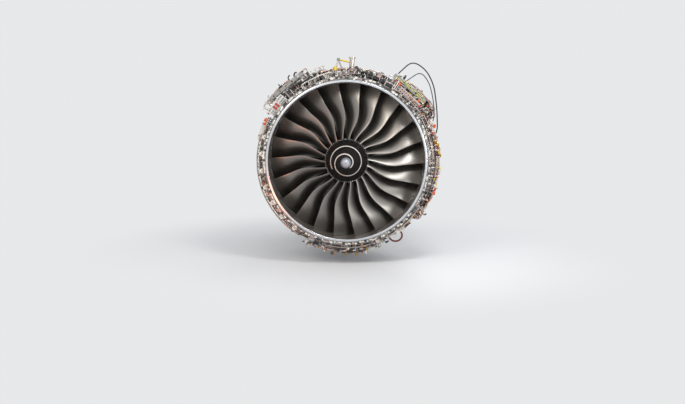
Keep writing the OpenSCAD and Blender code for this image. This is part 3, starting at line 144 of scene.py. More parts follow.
def filleted(stops: list[Vector], bend: float, steps: int = 5) -> list[Vector]:
    """Rounds the corners of a line through some points.

    Args:
        stops: The line's points.
        bend: The longest cut at each corner in metres.
        steps: How many points stand for each bend.

    Returns:
        The rounded line's points.
    """
    line = [stops[0]]
    for before, corner, after in zip(stops, stops[1:], stops[2:]):
        back, on = before - corner, after - corner
        cut = min(bend, back.length * 0.48, on.length * 0.48)
        start, end = corner + back.normalized() * cut, corner + on.normalized() * cut
        for k in range(steps + 1):
            t = k / steps
            line.append(start * (1 - t) ** 2 + corner * 2 * t * (1 - t) + end * t * t)
    line.append(stops[-1])
    return line


def wrapped(stops: list[Stop], bend: float = 0.05) -> list[Vector]:
    """Lays a route out round the engine, with its corners rounded.

    Args:
        stops: Places as clock angle, radius and station.
        bend: The longest cut at each corner in metres.

    Returns:
        Points in the engine's frame, at most 4 degrees apart.
    """
    mean = sum(s[1] for s in stops) / len(stops)
    flat = [Vector((math.radians(c) * mean, r, y)) for c, r, y in stops]
    dense: list[Vector] = []
    for a, b in zip(rounded := filleted(flat, bend), rounded[1:]):
        parts = max(1, math.ceil(abs(math.degrees((b.x - a.x) / mean)) / 4))
        dense += [a.lerp(b, k / parts) for k in range(parts)]
    dense.append(flat[-1])
    return [on_clock(math.degrees(p.x / mean), p.y, p.z) for p in dense]


# ---------------------------------------------------------------- finishes


def feed(tree: bpy.types.NodeTree, node: bpy.types.Node, given: dict[int | str, Given]) -> None:
    """Links sockets to a node's inputs, or sets the inputs' values.

    Args:
        tree: The tree that holds the node.
        node: The node.
        given: A socket or a value for each input.
    """
    for key, value in given.items():
        if isinstance(value, bpy.types.NodeSocket):
            tree.links.new(value, node.inputs[key])
        else:
            node.inputs[key].default_value = value


def add_node(tree: bpy.types.NodeTree, kind: str, given: dict[int | str, Given] | None = None,
             **settings: object) -> bpy.types.Node:
    """Adds a node to a tree and wires its inputs.

    Args:
        tree: The tree of a material, the world or a group.
        kind: The node's type without its first word.
        given: A socket or a value for each input.
        settings: The node's own settings.

    Returns:
        The new node.
    """
    node = tree.nodes.new(f"ShaderNode{kind}")
    for key, value in settings.items():
        setattr(node, key, value)
    feed(tree, node, given or {})
    return node


def mottle() -> bpy.types.NodeTree:
    """Builds the group that blends two colours by a soft pattern and adds fine speckle.

    Returns:
        A group with a colour, a mask and a height output.
    """
    tree = bpy.data.node_groups.new("mottle", "ShaderNodeTree")
    for way, sockets in (("INPUT", {"Colour": "Color", "Second": "Color", "Scale": "Float", "Amount": "Float",
                                    "Stretch": "Vector"}),
                         ("OUTPUT", {"Colour": "Color", "Mask": "Float", "Height": "Float"})):
        for name, kind in sockets.items():
            tree.interface.new_socket(name, in_out=way, socket_type=f"NodeSocket{kind}")
    start, end = tree.nodes.new("NodeGroupInput").outputs, tree.nodes.new("NodeGroupOutput")
    place = add_node(tree, "TexCoord")
    stretch = add_node(tree, "VectorMath", {0: place.outputs["Object"], 1: start["Stretch"]}, operation="MULTIPLY")
    broad = add_node(tree, "TexNoise", {"Vector": stretch.outputs[0], "Scale": start["Scale"], "Detail": 5})
    finer = add_node(tree, "Math", {0: start["Scale"], 1: SPECKLE_FINENESS}, operation="MULTIPLY")
    fine = add_node(tree, "TexNoise", {"Vector": stretch.outputs[0], "Scale": finer.outputs[0], "Detail": 3})
    ramp = add_node(tree, "MapRange", {"Value": broad.outputs["Fac"], "From Min": 0.38, "From Max": 0.66})
    weigh = add_node(tree, "Math", {0: ramp.outputs[0], 1: start["Amount"]}, operation="MULTIPLY")
    mix = add_node(tree, "Mix", {0: weigh.outputs[0], 6: start["Colour"], 7: start["Second"]}, data_type="RGBA")
    feed(tree, end, {"Colour": mix.outputs[2], "Mask": ramp.outputs[0], "Height": fine.outputs["Fac"]})
    return tree


@dataclass(frozen=True)
class Finish:
    """A surface finish: two colours, metalness, gloss and grain."""

    name: str
    colour: str
    second: str
    metallic: float = 0.0
    gloss: tuple[float, float] = (0.35, 0.55)
    scale: float = 9.0
    amount: float = 0.6
    bump: float = 0.12
    grain: Grain = Grain.EVEN

    @staticmethod
    def linear(text: str) -> tuple[float, float, float, float]:
        """Turns a hex colour into linear red, green, blue and 1."""
        parts = [int(text[i:i + 2], 16) / 255 for i in (1, 3, 5)]
        return (*[p / 12.92 if p <= 0.04045 else ((p + 0.055) / 1.055) ** 2.4 for p in parts], 1.0)

    def build(self, pattern: bpy.types.NodeTree) -> bpy.types.Material:
        """Makes the material.

        Args:
            pattern: The mottle group.

        Returns:
            The new material.
        """
        material = bpy.data.materials.new(self.name)
        material.use_nodes = True
        tree = material.node_tree
        spread = add_node(tree, "Group", node_tree=pattern)
        feed(tree, spread, {"Colour": self.linear(self.colour), "Second": self.linear(self.second),
                            "Scale": self.scale, "Amount": self.amount, "Stretch": self.grain.value})
        rough = add_node(tree, "MapRange", {"Value": spread.outputs["Mask"], "To Min": self.gloss[0],
                                            "To Max": self.gloss[1]})
        bump = add_node(tree, "Bump", {"Height": spread.outputs["Height"], "Strength": self.bump,
                                       "Distance": SPECKLE_DEPTH})
        feed(tree, tree.nodes["Principled BSDF"], {
            "Metallic": self.metallic, "Base Color": self.shade(tree, spread), "Roughness": rough.outputs[0],
            "Normal": bump.outputs["Normal"]})
        return material

    def shade(self, tree: bpy.types.NodeTree, spread: bpy.types.Node) -> bpy.types.NodeSocket:
        """Gives the socket that the base colour comes from: here the mottle's own colour."""
        return spread.outputs["Colour"]


@dataclass(frozen=True)
class HeatTint(Finish):
    """Hot metal whose colour blends towards one hotter colour along the engine, with a noisy edge."""

    hot: str = "#6f5f5c"
    start: float = 2.9
    end: float = 4.7
    depth: float = 1.7

    def shade(self, tree: bpy.types.NodeTree, spread: bpy.types.Node) -> bpy.types.NodeSocket:
        """Blends in the hot colour along the station, with a noisy edge.

        Args:
            tree: The material's tree.
            spread: The mottle group's node.

        Returns:
            The blended colour.
        """
        place = add_node(tree, "TexCoord")
        axes = add_node(tree, "SeparateXYZ", {0: place.outputs["Object"]})
        ramp = add_node(tree, "MapRange", {"Value": axes.outputs["Y"], "From Min": self.start, "From Max": self.end})
        noisy = add_node(tree, "Math", {0: ramp.outputs[0], 1: spread.outputs["Height"]}, operation="MULTIPLY")
        share = add_node(tree, "Math", {0: noisy.outputs[0], 1: self.depth}, operation="MULTIPLY", use_clamp=True)
        mix = add_node(tree, "Mix", {0: share.outputs[0], 6: spread.outputs["Colour"], 7: self.linear(self.hot)},
                       data_type="RGBA")
        return mix.outputs[2]


FINISHES = (
    Finish("case_paint", "#b9bcbf", "#96999c", 0.25, (0.35, 0.55), 6, 0.6),
    Finish("liner_lacquer", "#67605a", "#57514c", 0.15, (0.3, 0.42), 5, 0.6, 0.06),
    Finish("blade_titanium", "#928e89", "#7a7672", 1.0, (0.34, 0.42), 1.6, 0.5, 0.01),
    # a paler, glossier finish painted on the blades' leading edges as a highlight
    Finish("blade_edge_highlight", "#e2dfdb", "#c9c6c2", 1.0, (0.26, 0.34), 5, 0.5, 0.01),
    Finish("spinner_black", "#110f0e", "#1b1817", 0.0, (0.36, 0.5), 10, 0.5, 0.1),
    Finish("spiral_white", "#e9e3da", "#cfc8bd", 0.0, (0.35, 0.5), 30, 0.5),
    Finish("nose_silver", "#b4b6be", "#8f919a", 0.55, (0.34, 0.5), 26, 0.7, 0.2),
    Finish("filler_dark", "#211e1d", "#151312", 0.1, (0.45, 0.6), 20, 0.6),
    Finish("seal_bright", "#d3d6da", "#b2b7bd", 0.7, (0.22, 0.32), 20, 0.5, 0.04, Grain.ROUND_AXIS),
    Finish("flange_grey", "#8d8c8a", "#6f6e6c", 0.6, (0.32, 0.5), 26, 0.8, 0.1),
    Finish("hub_steel", "#8b8985", "#6a6865", 0.9, (0.3, 0.45), 24, 0.6),
    Finish("vane_grey", "#8e9092", "#75777a", 0.6, (0.35, 0.5), 9, 0.6),
    Finish("fairing_grey", "#a7a9ab", "#8b8d90", 0.2, (0.4, 0.55), 7, 0.6),
    Finish("cast_alloy", "#a9a7a1", "#85827c", 0.55, (0.48, 0.65), 30, 0.7, 0.5),
    Finish("core_titanium", "#8d8b88", "#73706d", 0.9, (0.32, 0.48), 8, 0.7, 0.1, Grain.ROUND_AXIS),
    HeatTint("hot_case", "#8f8a82", "#6f675e", 0.9, (0.36, 0.55), 9, 0.8, 0.14, Grain.ROUND_AXIS),
    HeatTint("exhaust_metal", "#8b7e70", "#6a5c50", 0.9, (0.36, 0.55), 6, 0.8, 0.14,
             hot="#5f5758", start=4.6, end=5.6),
    Finish("spool_steel", "#9a9a9b", "#7d7d80", 0.95, (0.25, 0.4), 16, 0.5, 0.05, Grain.ROUND_AXIS),
    Finish("gear_steel", "#a8a9ab", "#86878a", 1.0, (0.2, 0.32), 24, 0.5, 0.05),
    Finish("pipe_steel", "#c9c0bb", "#a2938c", 0.85, (0.22, 0.38), 28, 0.7, 0.05),
    Finish("pipe_pink", "#cdb4ab", "#a88c83", 0.7, (0.28, 0.42), 30, 0.7, 0.05),
    Finish("pipe_dark", "#3c3836", "#56504c", 0.3, (0.35, 0.5), 30, 0.6, 0.1),
    Finish("harness_braid", "#b3aaa2", "#7f766f", 0.35, (0.45, 0.6), 260, 0.9, 0.9),
    Finish("harness_black", "#23211f", "#3b3836", 0.0, (0.4, 0.6), 220, 0.6, 0.7),
    Finish("sleeve_white", "#e6e2da", "#c5c0b6", 0.0, (0.45, 0.6), 60, 0.5, 0.3),
    Finish("bracket_cream", "#dedad0", "#bdb8ac", 0.1, (0.4, 0.55), 18, 0.6),
    Finish("cap_orange", "#d9622b", "#b9481c", 0.0, (0.3, 0.45), 40, 0.5),
    Finish("cap_red", "#b8352b", "#8f2620", 0.0, (0.3, 0.45), 40, 0.5),
    Finish("cap_yellow", "#dcc13c", "#b3942a", 0.0, (0.35, 0.5), 40, 0.5),
    Finish("brass_gold", "#b98d4c", "#8a6430", 0.8, (0.28, 0.42), 30, 0.6),
    Finish("rubber_black", "#1d1c1b", "#2c2a29", 0.0, (0.5, 0.7), 60, 0.5),
    Finish("bolt_steel", "#a5a5a6", "#7b7b7d", 0.9, (0.25, 0.4), 60, 0.5),
    Finish("box_white", "#d9d8d4", "#bdbbb5", 0.05, (0.38, 0.5), 14, 0.5, 0.12),
    Finish("box_dark", "#3b3a3a", "#2b2a2a", 0.2, (0.4, 0.55), 24, 0.6, 0.3),
    Finish("mount_steel", "#73787d", "#595d61", 0.8, (0.34, 0.5), 14, 0.7, 0.12),
    Finish("beam_grey", "#9c9c9a", "#84827e", 0.45, (0.38, 0.52), 16, 0.8, 0.12),
    Finish("hose_red", "#7a2f2a", "#5a201d", 0.0, (0.45, 0.6), 90, 0.6, 0.5),
    Finish("strip_green", "#b9bb5a", "#98994a", 0.0, (0.4, 0.55), 30, 0.5),
    Finish("panel_rose", "#b9a6a0", "#9b8a85", 0.3, (0.4, 0.55), 20, 0.6),
    Finish("foil_silver", "#c3c4c8", "#9d9ea4", 0.8, (0.25, 0.4), 30, 0.7, 0.8),
)

NODE_FINISH = {
    "case_paint": ("fan_case", "rear_fan_case"),
    "liner_lacquer": ("fan_track_liner",),
    "vane_grey": ("outlet_guide_vanes",),
    "fairing_grey": ("core_fairing",),
    "hub_steel": ("fan_disc", "spinner_bolts", "front_bearing_frame", "inlet_guide_vanes"),
    "filler_dark": ("annulus_fillers",),
    "core_titanium": ("mid_compressor_case", "intercase", "high_compressor_case", "unison_ring"),
    "hot_case": ("combustor_case", "combustor_liner", "turbine_case", "tail_bearing_housing", "fuel_injectors"),
    "exhaust_metal": ("exhaust_cone",),
    "spool_steel": ("low_shaft", "low_turbine", "mid_compressor", "mid_turbine", "high_compressor", "high_turbine"),
    "gear_steel": ("front_roller_bearing", "thrust_bearings", "rear_roller_bearings", "radial_drive_shaft",
                   "transfer_shaft", "drive_gear", "starter_gear", "generator_gear", "fuel_pump_gear",
                   "hydraulic_pump_gear", "actuator_ram"),
    "cast_alloy": ("angle_gearbox", "accessory_gearbox", "gearbox_cover", "air_starter", "fuel_pump",
                   "hydraulic_pump", "vane_actuator", "heat_exchanger"),
    "box_dark": ("generator",),
    "foil_silver": ("oil_tank",),
    "mount_steel": ("front_mount", "rear_mount", "thrust_struts"),
    "beam_grey": ("upper_beams",),
    "bracket_cream": ("gusset_brackets", "service_rail"),
    "box_white": ("control_box",),
    "pipe_steel": ("bleed_duct", "fuel_manifold", "service_pipes"),
    "spinner_black": ("spinner",),
    "nose_silver": ("spinner_nose",),
}


class PaintShop:
    """Makes each finish once and puts it on CAD nodes and new pieces."""

    def __init__(self) -> None:
        """Makes the materials."""
        pattern = mottle()
        self.materials = {finish.name: finish.build(pattern) for finish in FINISHES}

    def coat_nodes(self, nodes: dict[str, bpy.types.Object]) -> None:
        """Gives every CAD node its finish.

        Args:
            nodes: The frame's CAD nodes by name.
        """
        for finish, names in NODE_FINISH.items():
            for name in names:
                self.assign(nodes[name], finish)
        left = set(nodes) - {n for names in NODE_FINISH.values() for n in names} - {"fan_blades"}
        log.info("coated CAD nodes, left over: %s", sorted(left))

    def assign(self, piece: bpy.types.Object, *finishes: str) -> None:
        """Puts materials on a piece.

        Args:
            piece: The object.
            finishes: Names of the finishes, one per material slot.
        """
        slots = piece.data.materials
        if len(finishes) == 1 and len(slots) > 0:
            for k in range(len(slots)):
                slots[k] = self.materials[finishes[0]]
            return
        slots.clear()
        for name in finishes:
            slots.append(self.materials[name])


# ---------------------------------------------------------------- workbench


class Bench:
    """Shapes pieces with Blender's operators and hangs them on one body."""

    def __init__(self, paint: PaintShop, body: Body) -> None:
        """Keeps the paint shop and the body.

        Args:
            paint: Where finishes come from.
            body: The body that this bench's pieces move with.
        """
        self.paint, self.body = paint, body

    @staticmethod
    def clear() -> None:
        """Leaves object mode with nothing selected."""
        if bpy.context.object and bpy.context.object.mode != "OBJECT":
            bpy.ops.object.mode_set(mode="OBJECT")
        bpy.ops.object.select_all(action="DESELECT")

    def pick(self, *pieces: bpy.types.Object) -> None:
        """Selects some pieces and makes the first one active.

        Args:
            pieces: The objects.
        """
        self.clear()
        for piece in pieces:
            piece.select_set(True)
        bpy.context.view_layer.objects.active = pieces[0]

    def fasten(self, piece: bpy.types.Object, name: str, *finishes: str, smooth: float = 35) -> bpy.types.Object:
        """Names, finishes, smooths and hangs a piece on the body.

        Args:
            piece: The mesh object, at its place.
            name: What the piece is called.
            finishes: Its finishes, one per material slot.
            smooth: The angle in degrees below which edges are smooth.

        Returns:
            The piece.
        """
        piece.data.transform(piece.matrix_world)
        piece.matrix_world = Matrix.Identity(4)
        piece.name = piece.data.name = name
        self.paint.assign(piece, *finishes)
        self.pick(piece)
        bpy.ops.object.shade_smooth_by_angle(angle=math.radians(smooth))
        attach(piece, self.body.value)
        log.info("%s: %d faces", name, len(piece.data.polygons))
        return piece

    def drawn(self, routes: list[list[Vector]], radius: float, sides: int = 3) -> bpy.types.Object:
        """Draws round tubes along lines.

        Args:
            routes: Each tube's centre line.
            radius: The tubes' outer radius.
            sides: The curve's bevel resolution.

        Returns:
            One mesh object that holds all the tubes.
        """
        self.clear()
        bpy.ops.curve.primitive_nurbs_path_add(radius=1)
        piece = bpy.context.object
        curve = piece.data
        curve.splines.clear()
        for route in routes:
            spline = curve.splines.new("POLY")
            spline.points.add(len(route) - 1)
            for point, place in zip(spline.points, route):
                point.co = (*place, 1)
        curve.dimensions, curve.twist_mode = "3D", "MINIMUM"
        curve.bevel_depth, curve.bevel_resolution, curve.use_fill_caps = radius, sides, True
        self.pick(piece)
        bpy.ops.object.convert(target="MESH")
        return bpy.context.object

    def tubes(self, name: str, routes: list[list[Vector]], radius: float, finish: str, sides: int = 3) -> None:
        """Draws tubes along lines and hangs them on the body.

        Args:
            name: What the piece is called.
            routes: Each tube's centre line.
            radius: The tubes' outer radius.
            finish: Their finish.
            sides: The curve's bevel resolution.
        """
        self.fasten(self.drawn(routes, radius, sides), name, finish, smooth=50)

    def copies(self, name: str, pattern: bpy.types.Object, places: list[Matrix], *finishes: str) -> bpy.types.Object:
        """Sets copies of a pattern at many places and joins them.

        Args:
            name: What the joined piece is called.
            pattern: The object to copy, which is used up.
            places: A matrix for each copy.
            finishes: Finishes, one per material slot.

        Returns:
            The joined piece.
        """
        pattern.data.transform(pattern.matrix_world)
        pattern.matrix_world = Matrix.Identity(4)
        copied = []
        for place in places:
            twin = bpy.data.objects.new(name, pattern.data.copy())
            twin.data.transform(place)
            bpy.context.scene.collection.objects.link(twin)
            copied.append(twin)
        bpy.data.objects.remove(pattern)
        self.pick(*copied)
        if len(copied) > 1:
            bpy.ops.object.join()
        return self.fasten(bpy.context.object, name, *finishes)

    def nut_ring(self, name: str, nut: bpy.types.Object, count: int, radius: float, station: float,
                 way: int) -> None:
        """Sets a ring of bolt heads or nuts on a flange.

        Args:
            name: What the ring is called.
            nut: The pattern, which points along Z and is used up.
            count: How many there are.
            radius: The bolt circle's radius.
            station: The flange face's station.
            way: 1 for a face that looks aft and -1 for one that looks forward.
        """
        turn = Matrix.Rotation(math.radians(-90 * way), 4, "X")
        places = [clock_frame(360 / count * k, radius, station) @ turn for k in range(count)]
        self.copies(name, nut, places, "bolt_steel")

    @staticmethod
    def weld(gap: float) -> None:
        """Merges close points in edit mode, and turns the faces outwards.

        Args:
            gap: The distance under which points are merged.
        """
        bpy.ops.mesh.select_all(action="SELECT")
        bpy.ops.mesh.remove_doubles(threshold=gap)
        bpy.ops.mesh.normals_make_consistent(inside=False)

    def turned(self, profile: list[tuple[float, float]], steps: int) -> bpy.types.Object:
        """Spins a closed outline round the engine's axis.

        Args:
            profile: Points as radius and station.
            steps: How many parts the turn has.

        Returns:
            The new object.
        """
        self.clear()
        bpy.ops.mesh.primitive_plane_add(size=1)
        piece = bpy.context.object
        bpy.ops.object.mode_set(mode="EDIT")
        mesh = bmesh.from_edit_mesh(piece.data)
        bmesh.ops.delete(mesh, geom=mesh.verts, context="VERTS")
        corners = [mesh.verts.new(on_clock(0, r, y)) for r, y in profile]
        for a, b in zip(corners, [*corners[1:], corners[0]]):
            mesh.edges.new((a, b))
        bmesh.update_edit_mesh(piece.data)
        bpy.ops.mesh.select_all(action="SELECT")
        bpy.ops.mesh.spin(steps=steps, angle=2 * math.pi, center=(0, 0, 0), axis=(0, 1, 0))
        self.weld(0.00005)
        bpy.ops.object.mode_set(mode="OBJECT")
        return piece

    def rod(self, radius: float, steps: list[tuple[float, float]], sides: int = 20) -> bpy.types.Object:
        """Makes a stepped round piece along Z from a cylinder, by extruding its top.

        Args:
            radius: The first step's radius.
            steps: Each step's height and, after it, the next radius.
            sides: How many sides it has.

        Returns:
            The new object at the origin.
        """
        self.clear()
        bpy.ops.mesh.primitive_cylinder_add(vertices=sides, radius=radius, depth=steps[0][0],
                                            location=(0, 0, steps[0][0] / 2), end_fill_type="NGON")
        piece = bpy.context.object
        bpy.ops.object.transform_apply(location=True, rotation=True, scale=True)
        now = radius
        top = steps[0][0]
        bpy.ops.object.mode_set(mode="EDIT")
        bpy.ops.mesh.select_mode(type="FACE")
        for (height, following), (after, _) in zip(steps, steps[1:]):
            self.select_top(piece, top)
            if following != now:
                bpy.ops.mesh.extrude_region_move(TRANSFORM_OT_translate={"value": (0, 0, 0)})
                bpy.ops.transform.resize(value=(following / now, following / now, 1), center_override=(0, 0, top))
            bpy.ops.mesh.extrude_region_move(TRANSFORM_OT_translate={"value": (0, 0, after)})
            now, top = following, top + after
        bpy.ops.object.mode_set(mode="OBJECT")
        return piece

    @staticmethod
    def select_top(piece: bpy.types.Object, height: float) -> None:
        """Selects the faces that lie flat at a height.

        Args:
            piece: The object, in edit mode.
            height: The faces' height.
        """
        mesh = bmesh.from_edit_mesh(piece.data)
        for f in mesh.faces:
            f.select = abs(f.normal.z) > 0.9 and abs(f.calc_center_median().z - height) < 1e-5
        bmesh.update_edit_mesh(piece.data)

    def raise_lid(self, piece: bpy.types.Object, height: float, margin: float, rise: float) -> None:
        """Raises the middle of a block's top face as a lid.

        Args:
            piece: The block.
            height: How high its top lies.
            margin: The rim left round the lid.
            rise: How far the lid stands up.
        """
        self.pick(piece)
        bpy.ops.object.mode_set(mode="EDIT")
        bpy.ops.mesh.select_mode(type="FACE")
        self.select_top(piece, height)
        bpy.ops.mesh.inset(thickness=margin)
        bpy.ops.mesh.extrude_region_move(TRANSFORM_OT_translate={"value": (0, 0, rise)})
        bpy.ops.object.mode_set(mode="OBJECT")

    def block(self, size: tuple[float, float, float], round_by: float = 0.004, parts: int = 2) -> bpy.types.Object:
        """Makes a box with rounded edges that stands on Z zero.

        Args:
            size: Its size in X, Y and Z.
            round_by: The width of its edge rounding.
            parts: The rounding's segments.

        Returns:
            The new object at the origin.
        """
        self.clear()
        bpy.ops.mesh.primitive_cube_add(size=1, location=(0, 0, size[2] / 2))
        piece = bpy.context.object
        piece.scale = size
        bpy.ops.object.transform_apply(location=True, rotation=True, scale=True)
        bpy.ops.object.mode_set(mode="EDIT")
        bpy.ops.mesh.select_all(action="SELECT")
        bpy.ops.mesh.bevel(offset=round_by, segments=parts)
        bpy.ops.object.mode_set(mode="OBJECT")
        return piece


# ---------------------------------------------------------------- fan


@dataclass
class FanRotor:
    """The fan's swept blades with a painted highlight along their leading edges, its spinner and the painted spiral.
    """

    bench: Bench
    blade_count: int = 22
    hub_radius: float = 0.408
    hub_slope: float = 0.27
    tip_radius: float = 1.492
    leading_edge: float = 0.29
    root_chord: float = 0.4
    tip_chord: float = 0.56
    root_thickness: float = 0.044
    tip_thickness: float = 0.012
    neck_radius: float = 0.3303
    span_parts: int = 26
    chord_parts: int = 18
    cone_front: float = -0.278
    cone_length: float = 0.55
    nose_radius: float = 0.1
    base_radius: float = 0.405
    wall: float = 0.008
    root_lean: float = 6.2
    # how near the leading edge, and how far out from the root, the painted highlight reaches
    highlight_reach: float = 0.02
    highlight_start: float = 0.42
    spiral_turn: float = 625.0
    spiral_start: float = 240.0
    spiral_width: float = 0.031
    platform_clock: float = 14.4

    LEAN = ((0, 0), (0.18, 5.4), (0.36, 8.8), (0.48, 8.4), (0.7, 5.4), (1, 3.8))
    STAGGER = ((0, 12), (0.2, 24), (0.45, 40), (0.7, 52), (1, 61))
    CHORD = ((0, 0), (0.3, 0.25), (0.6, 0.75), (0.8, 1.05), (1, 1))
    SWEEP = ((0, 0), (0.3, -0.012), (0.55, -0.022), (0.75, -0.005), (1, 0.072))
    CAMBER = ((0, 0.1), (0.3, 0.09), (0.6, 0.06), (1, 0.03))
    SPIRAL = ((0, 0.304), (0.24, 0.292), (0.4, 0.281), (0.53, 0.256), (0.61, 0.216), (0.69, 0.178), (0.8, 0.147),
              (0.91, 0.13), (1, 0.118))

    @staticmethod
    def read(table: tuple[tuple[float, float], ...], x: float) -> float:
        """Reads a design table with its corners smoothed.

        Args:
            table: Pairs of span fraction and value.
            x: The span fraction.

        Returns:
            The mean of the table round x.
        """
        def at(u: float) -> float:
            """Reads the table in straight lines.

            Args:
                u: The span fraction.

            Returns:
                The value there.
            """
            u = min(max(u, table[0][0]), table[-1][0])
            for (a, va), (b, vb) in zip(table, table[1:]):
                if u <= b:
                    return va + (vb - va) * (u - a) / (b - a)
            return table[-1][1]
        spread = (-0.08, -0.05, -0.025, 0, 0.025, 0.05, 0.08)
        return sum(at(x + d) for d in spread) / len(spread)

    @staticmethod
    def half_thickness(thick: float, t: float) -> float:
        """Gives the half thickness at a share of the chord, by the four-digit aerofoil formula."""
        return thick * 5 * (0.2969 * math.sqrt(t) - 0.126 * t - 0.3516 * t * t + 0.2843 * t ** 3 - 0.1036 * t ** 4)

    def section(self, f: float) -> list[Vector]:
        """Gives the closed outline of the blade at a fraction of the span.

        Args:
            f: The fraction, 0 at the hub line and 1 at the tip.

        Returns:
            Points from the leading edge along one face and back along the other.
        """
        chord = self.root_chord + (self.tip_chord - self.root_chord) * self.read(self.CHORD, f)
        thick = self.root_thickness + (self.tip_thickness - self.root_thickness) * max(f, 0) ** 0.6
        camber = chord * self.read(self.CAMBER, f)
        stagger = math.radians(self.read(self.STAGGER, f))
        radius = self.hub_radius + f * (self.tip_radius - self.hub_radius)
        lean = math.radians(self.root_lean + self.read(self.LEAN, f))
        x0, y0 = radius * math.sin(lean), self.leading_edge + self.read(self.SWEEP, f)
        points = []
        for side in (1, -1):
            steps = range(self.chord_parts + 1) if side == 1 else range(self.chord_parts - 1, 0, -1)
            for k in steps:
                t = (1 - math.cos(math.pi * k / self.chord_parts)) / 2
                u, n = chord * t, 4 * camber * t * (1 - t) + side * self.half_thickness(thick, t)
                x = x0 - u * math.sin(stagger) - n * math.cos(stagger)
                y = y0 + u * math.cos(stagger) - n * math.sin(stagger)
                hub = self.hub_radius + self.hub_slope * (y - self.leading_edge)
                reach = hub + f * (self.tip_radius - hub)
                points.append(Vector((x, y, math.sqrt(reach * reach - x * x))))
        return points

    def blades(self) -> bpy.types.Object:
        """Lofts one blade from its sections, paints a highlight along its leading edge and sets it round the disc.

        Returns:
            One piece with all the blades.
        """
        self.bench.clear()
        sections = [self.section(k / self.span_parts) for k in range(self.span_parts + 1)]
        neck = [Vector((p.x, p.y, self.neck_radius)) for p in sections[0]]
        rings = [neck, *sections]
        around = len(neck)
        bpy.ops.mesh.primitive_grid_add(x_subdivisions=around, y_subdivisions=len(rings) - 1, size=1)
        blade = bpy.context.object
        row = around + 1
        for k, ring in enumerate(rings):
            for i in range(row):
                blade.data.vertices[k * row + i].co = ring[i % around]
        bpy.ops.object.mode_set(mode="EDIT")
        bpy.ops.mesh.select_all(action="SELECT")
        bpy.ops.mesh.remove_doubles(threshold=0.00002)
        bpy.ops.mesh.select_all(action="DESELECT")
        bpy.ops.mesh.select_non_manifold(extend=False, use_wire=False, use_boundary=True)
        bpy.ops.mesh.fill()
        bpy.ops.mesh.select_all(action="SELECT")
        bpy.ops.mesh.normals_make_consistent(inside=False)
        bpy.ops.object.mode_set(mode="OBJECT")
        blade.data.materials.append(None)
        blade.data.materials.append(None)
        # faces near the leading edge and away from the root get the bright second finish, a painted highlight
        edge = [p for ring in sections for p in (ring[0], ring[1], ring[-1])]
        for face in blade.data.polygons:
            c = face.center
            near = min((c - p).length_squared for p in edge) < self.highlight_reach ** 2
            face.material_index = int(near and c.z > self.highlight_start)
        pitch = 360 / self.blade_count
        places = [Matrix.Rotation(math.radians(pitch * k), 4, "Y") for k in range(self.blade_count)]
        piece = self.bench.copies("fan_blade_set", blade, places, "blade_titanium", "blade_edge_highlight")
        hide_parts("fan_blades")
        return piece

    def cone(self, t: float) -> tuple[float, float]:
        """Gives the spinner's outer radius and station.

        Args:
            t: The share of the spinner's length.

        Returns:
            The radius and the station.
        """
        swell = 1.25 * t - 0.25 * t * t
        radius = self.nose_radius + (self.base_radius - self.nose_radius) * swell
        return radius, self.cone_front + self.cone_length * t

    def spiral(self) -> bpy.types.Object:
        """Lays the painted spiral on the cone as a thin film.

        Returns:
            The piece.
        """
        parts = 220
        slant = math.hypot(self.cone_length, self.base_radius - self.nose_radius)
        self.bench.clear()
        bpy.ops.mesh.primitive_grid_add(x_subdivisions=4, y_subdivisions=parts, size=1)
        film = bpy.context.object
        for k in range(parts + 1):
            share = k / parts
            radius = self.read(self.SPIRAL, share)
            clock = self.spiral_start + self.spiral_turn * share
            end = min(share, 1 - share) * parts / 5
            half = self.spiral_width / 2 * math.sqrt(max(0.0, 1 - (1 - min(1.0, end)) ** 2))
            t = self.share_of(radius)
            for i in range(5):
                r, y = self.cone(t + half * (i - 2) / 2 / slant)
                film.data.vertices[k * 5 + i].co = on_clock(clock, r + 0.0011, y - 0.0008)
        self.bench.pick(film)
        bpy.ops.object.mode_set(mode="EDIT")
        self.bench.weld(0.00002)
        bpy.ops.object.mode_set(mode="OBJECT")
        thick = film.modifiers.new("film", "SOLIDIFY")
        thick.thickness, thick.offset = 0.0008, -1
        bpy.ops.object.modifier_apply(modifier=thick.name)
        return self.bench.fasten(film, "spinner_spiral", "spiral_white")

    def share_of(self, radius: float) -> float:
        """Finds the share of the cone's length at a radius."""
        swell = (radius - self.nose_radius) / (self.base_radius - self.nose_radius)
        return (1.25 - math.sqrt(1.25 ** 2 - swell)) / 0.5

    def spinner(self) -> bpy.types.Object:
        """Turns the spinner's smooth shell.

        Returns:
            The piece.
        """
        outer = [self.cone(k / 30) for k in range(31)]
        inner = [(r - self.wall, y) for r, y in reversed(outer)]
        shell = self.bench.turned(outer + inner, 128)
        piece = self.bench.fasten(shell, "spinner_shell", "spinner_black")
        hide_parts("spinner")
        return piece

    def screws(self) -> None:
        """Sets two rows of bright screws on the platforms between the blades."""
        pitch = 360 / self.blade_count
        places = []
        for station, spread in ((0.292, 2.6), (0.33, 3.1), (0.385, 1.2)):
            radius = self.hub_radius + self.hub_slope * (station - self.leading_edge)
            for k in range(self.blade_count):
                for side in (-1, 1):
                    places.append(clock_frame(self.platform_clock + k * pitch + side * spread, radius - 0.001,
                                              station))
        screw = self.bench.rod(0.0085, [(0.003, 0.0065), (0.005, 0.005)], 8)
        self.bench.copies("platform_screws", screw, places, "bolt_steel")

    def build(self) -> None:
        """Builds the blades, the spinner, its spiral and the platform screws."""
        self.blades()
        self.spinner()
        self.spiral()
        self.screws()


# ---------------------------------------------------------------- services on the fan case


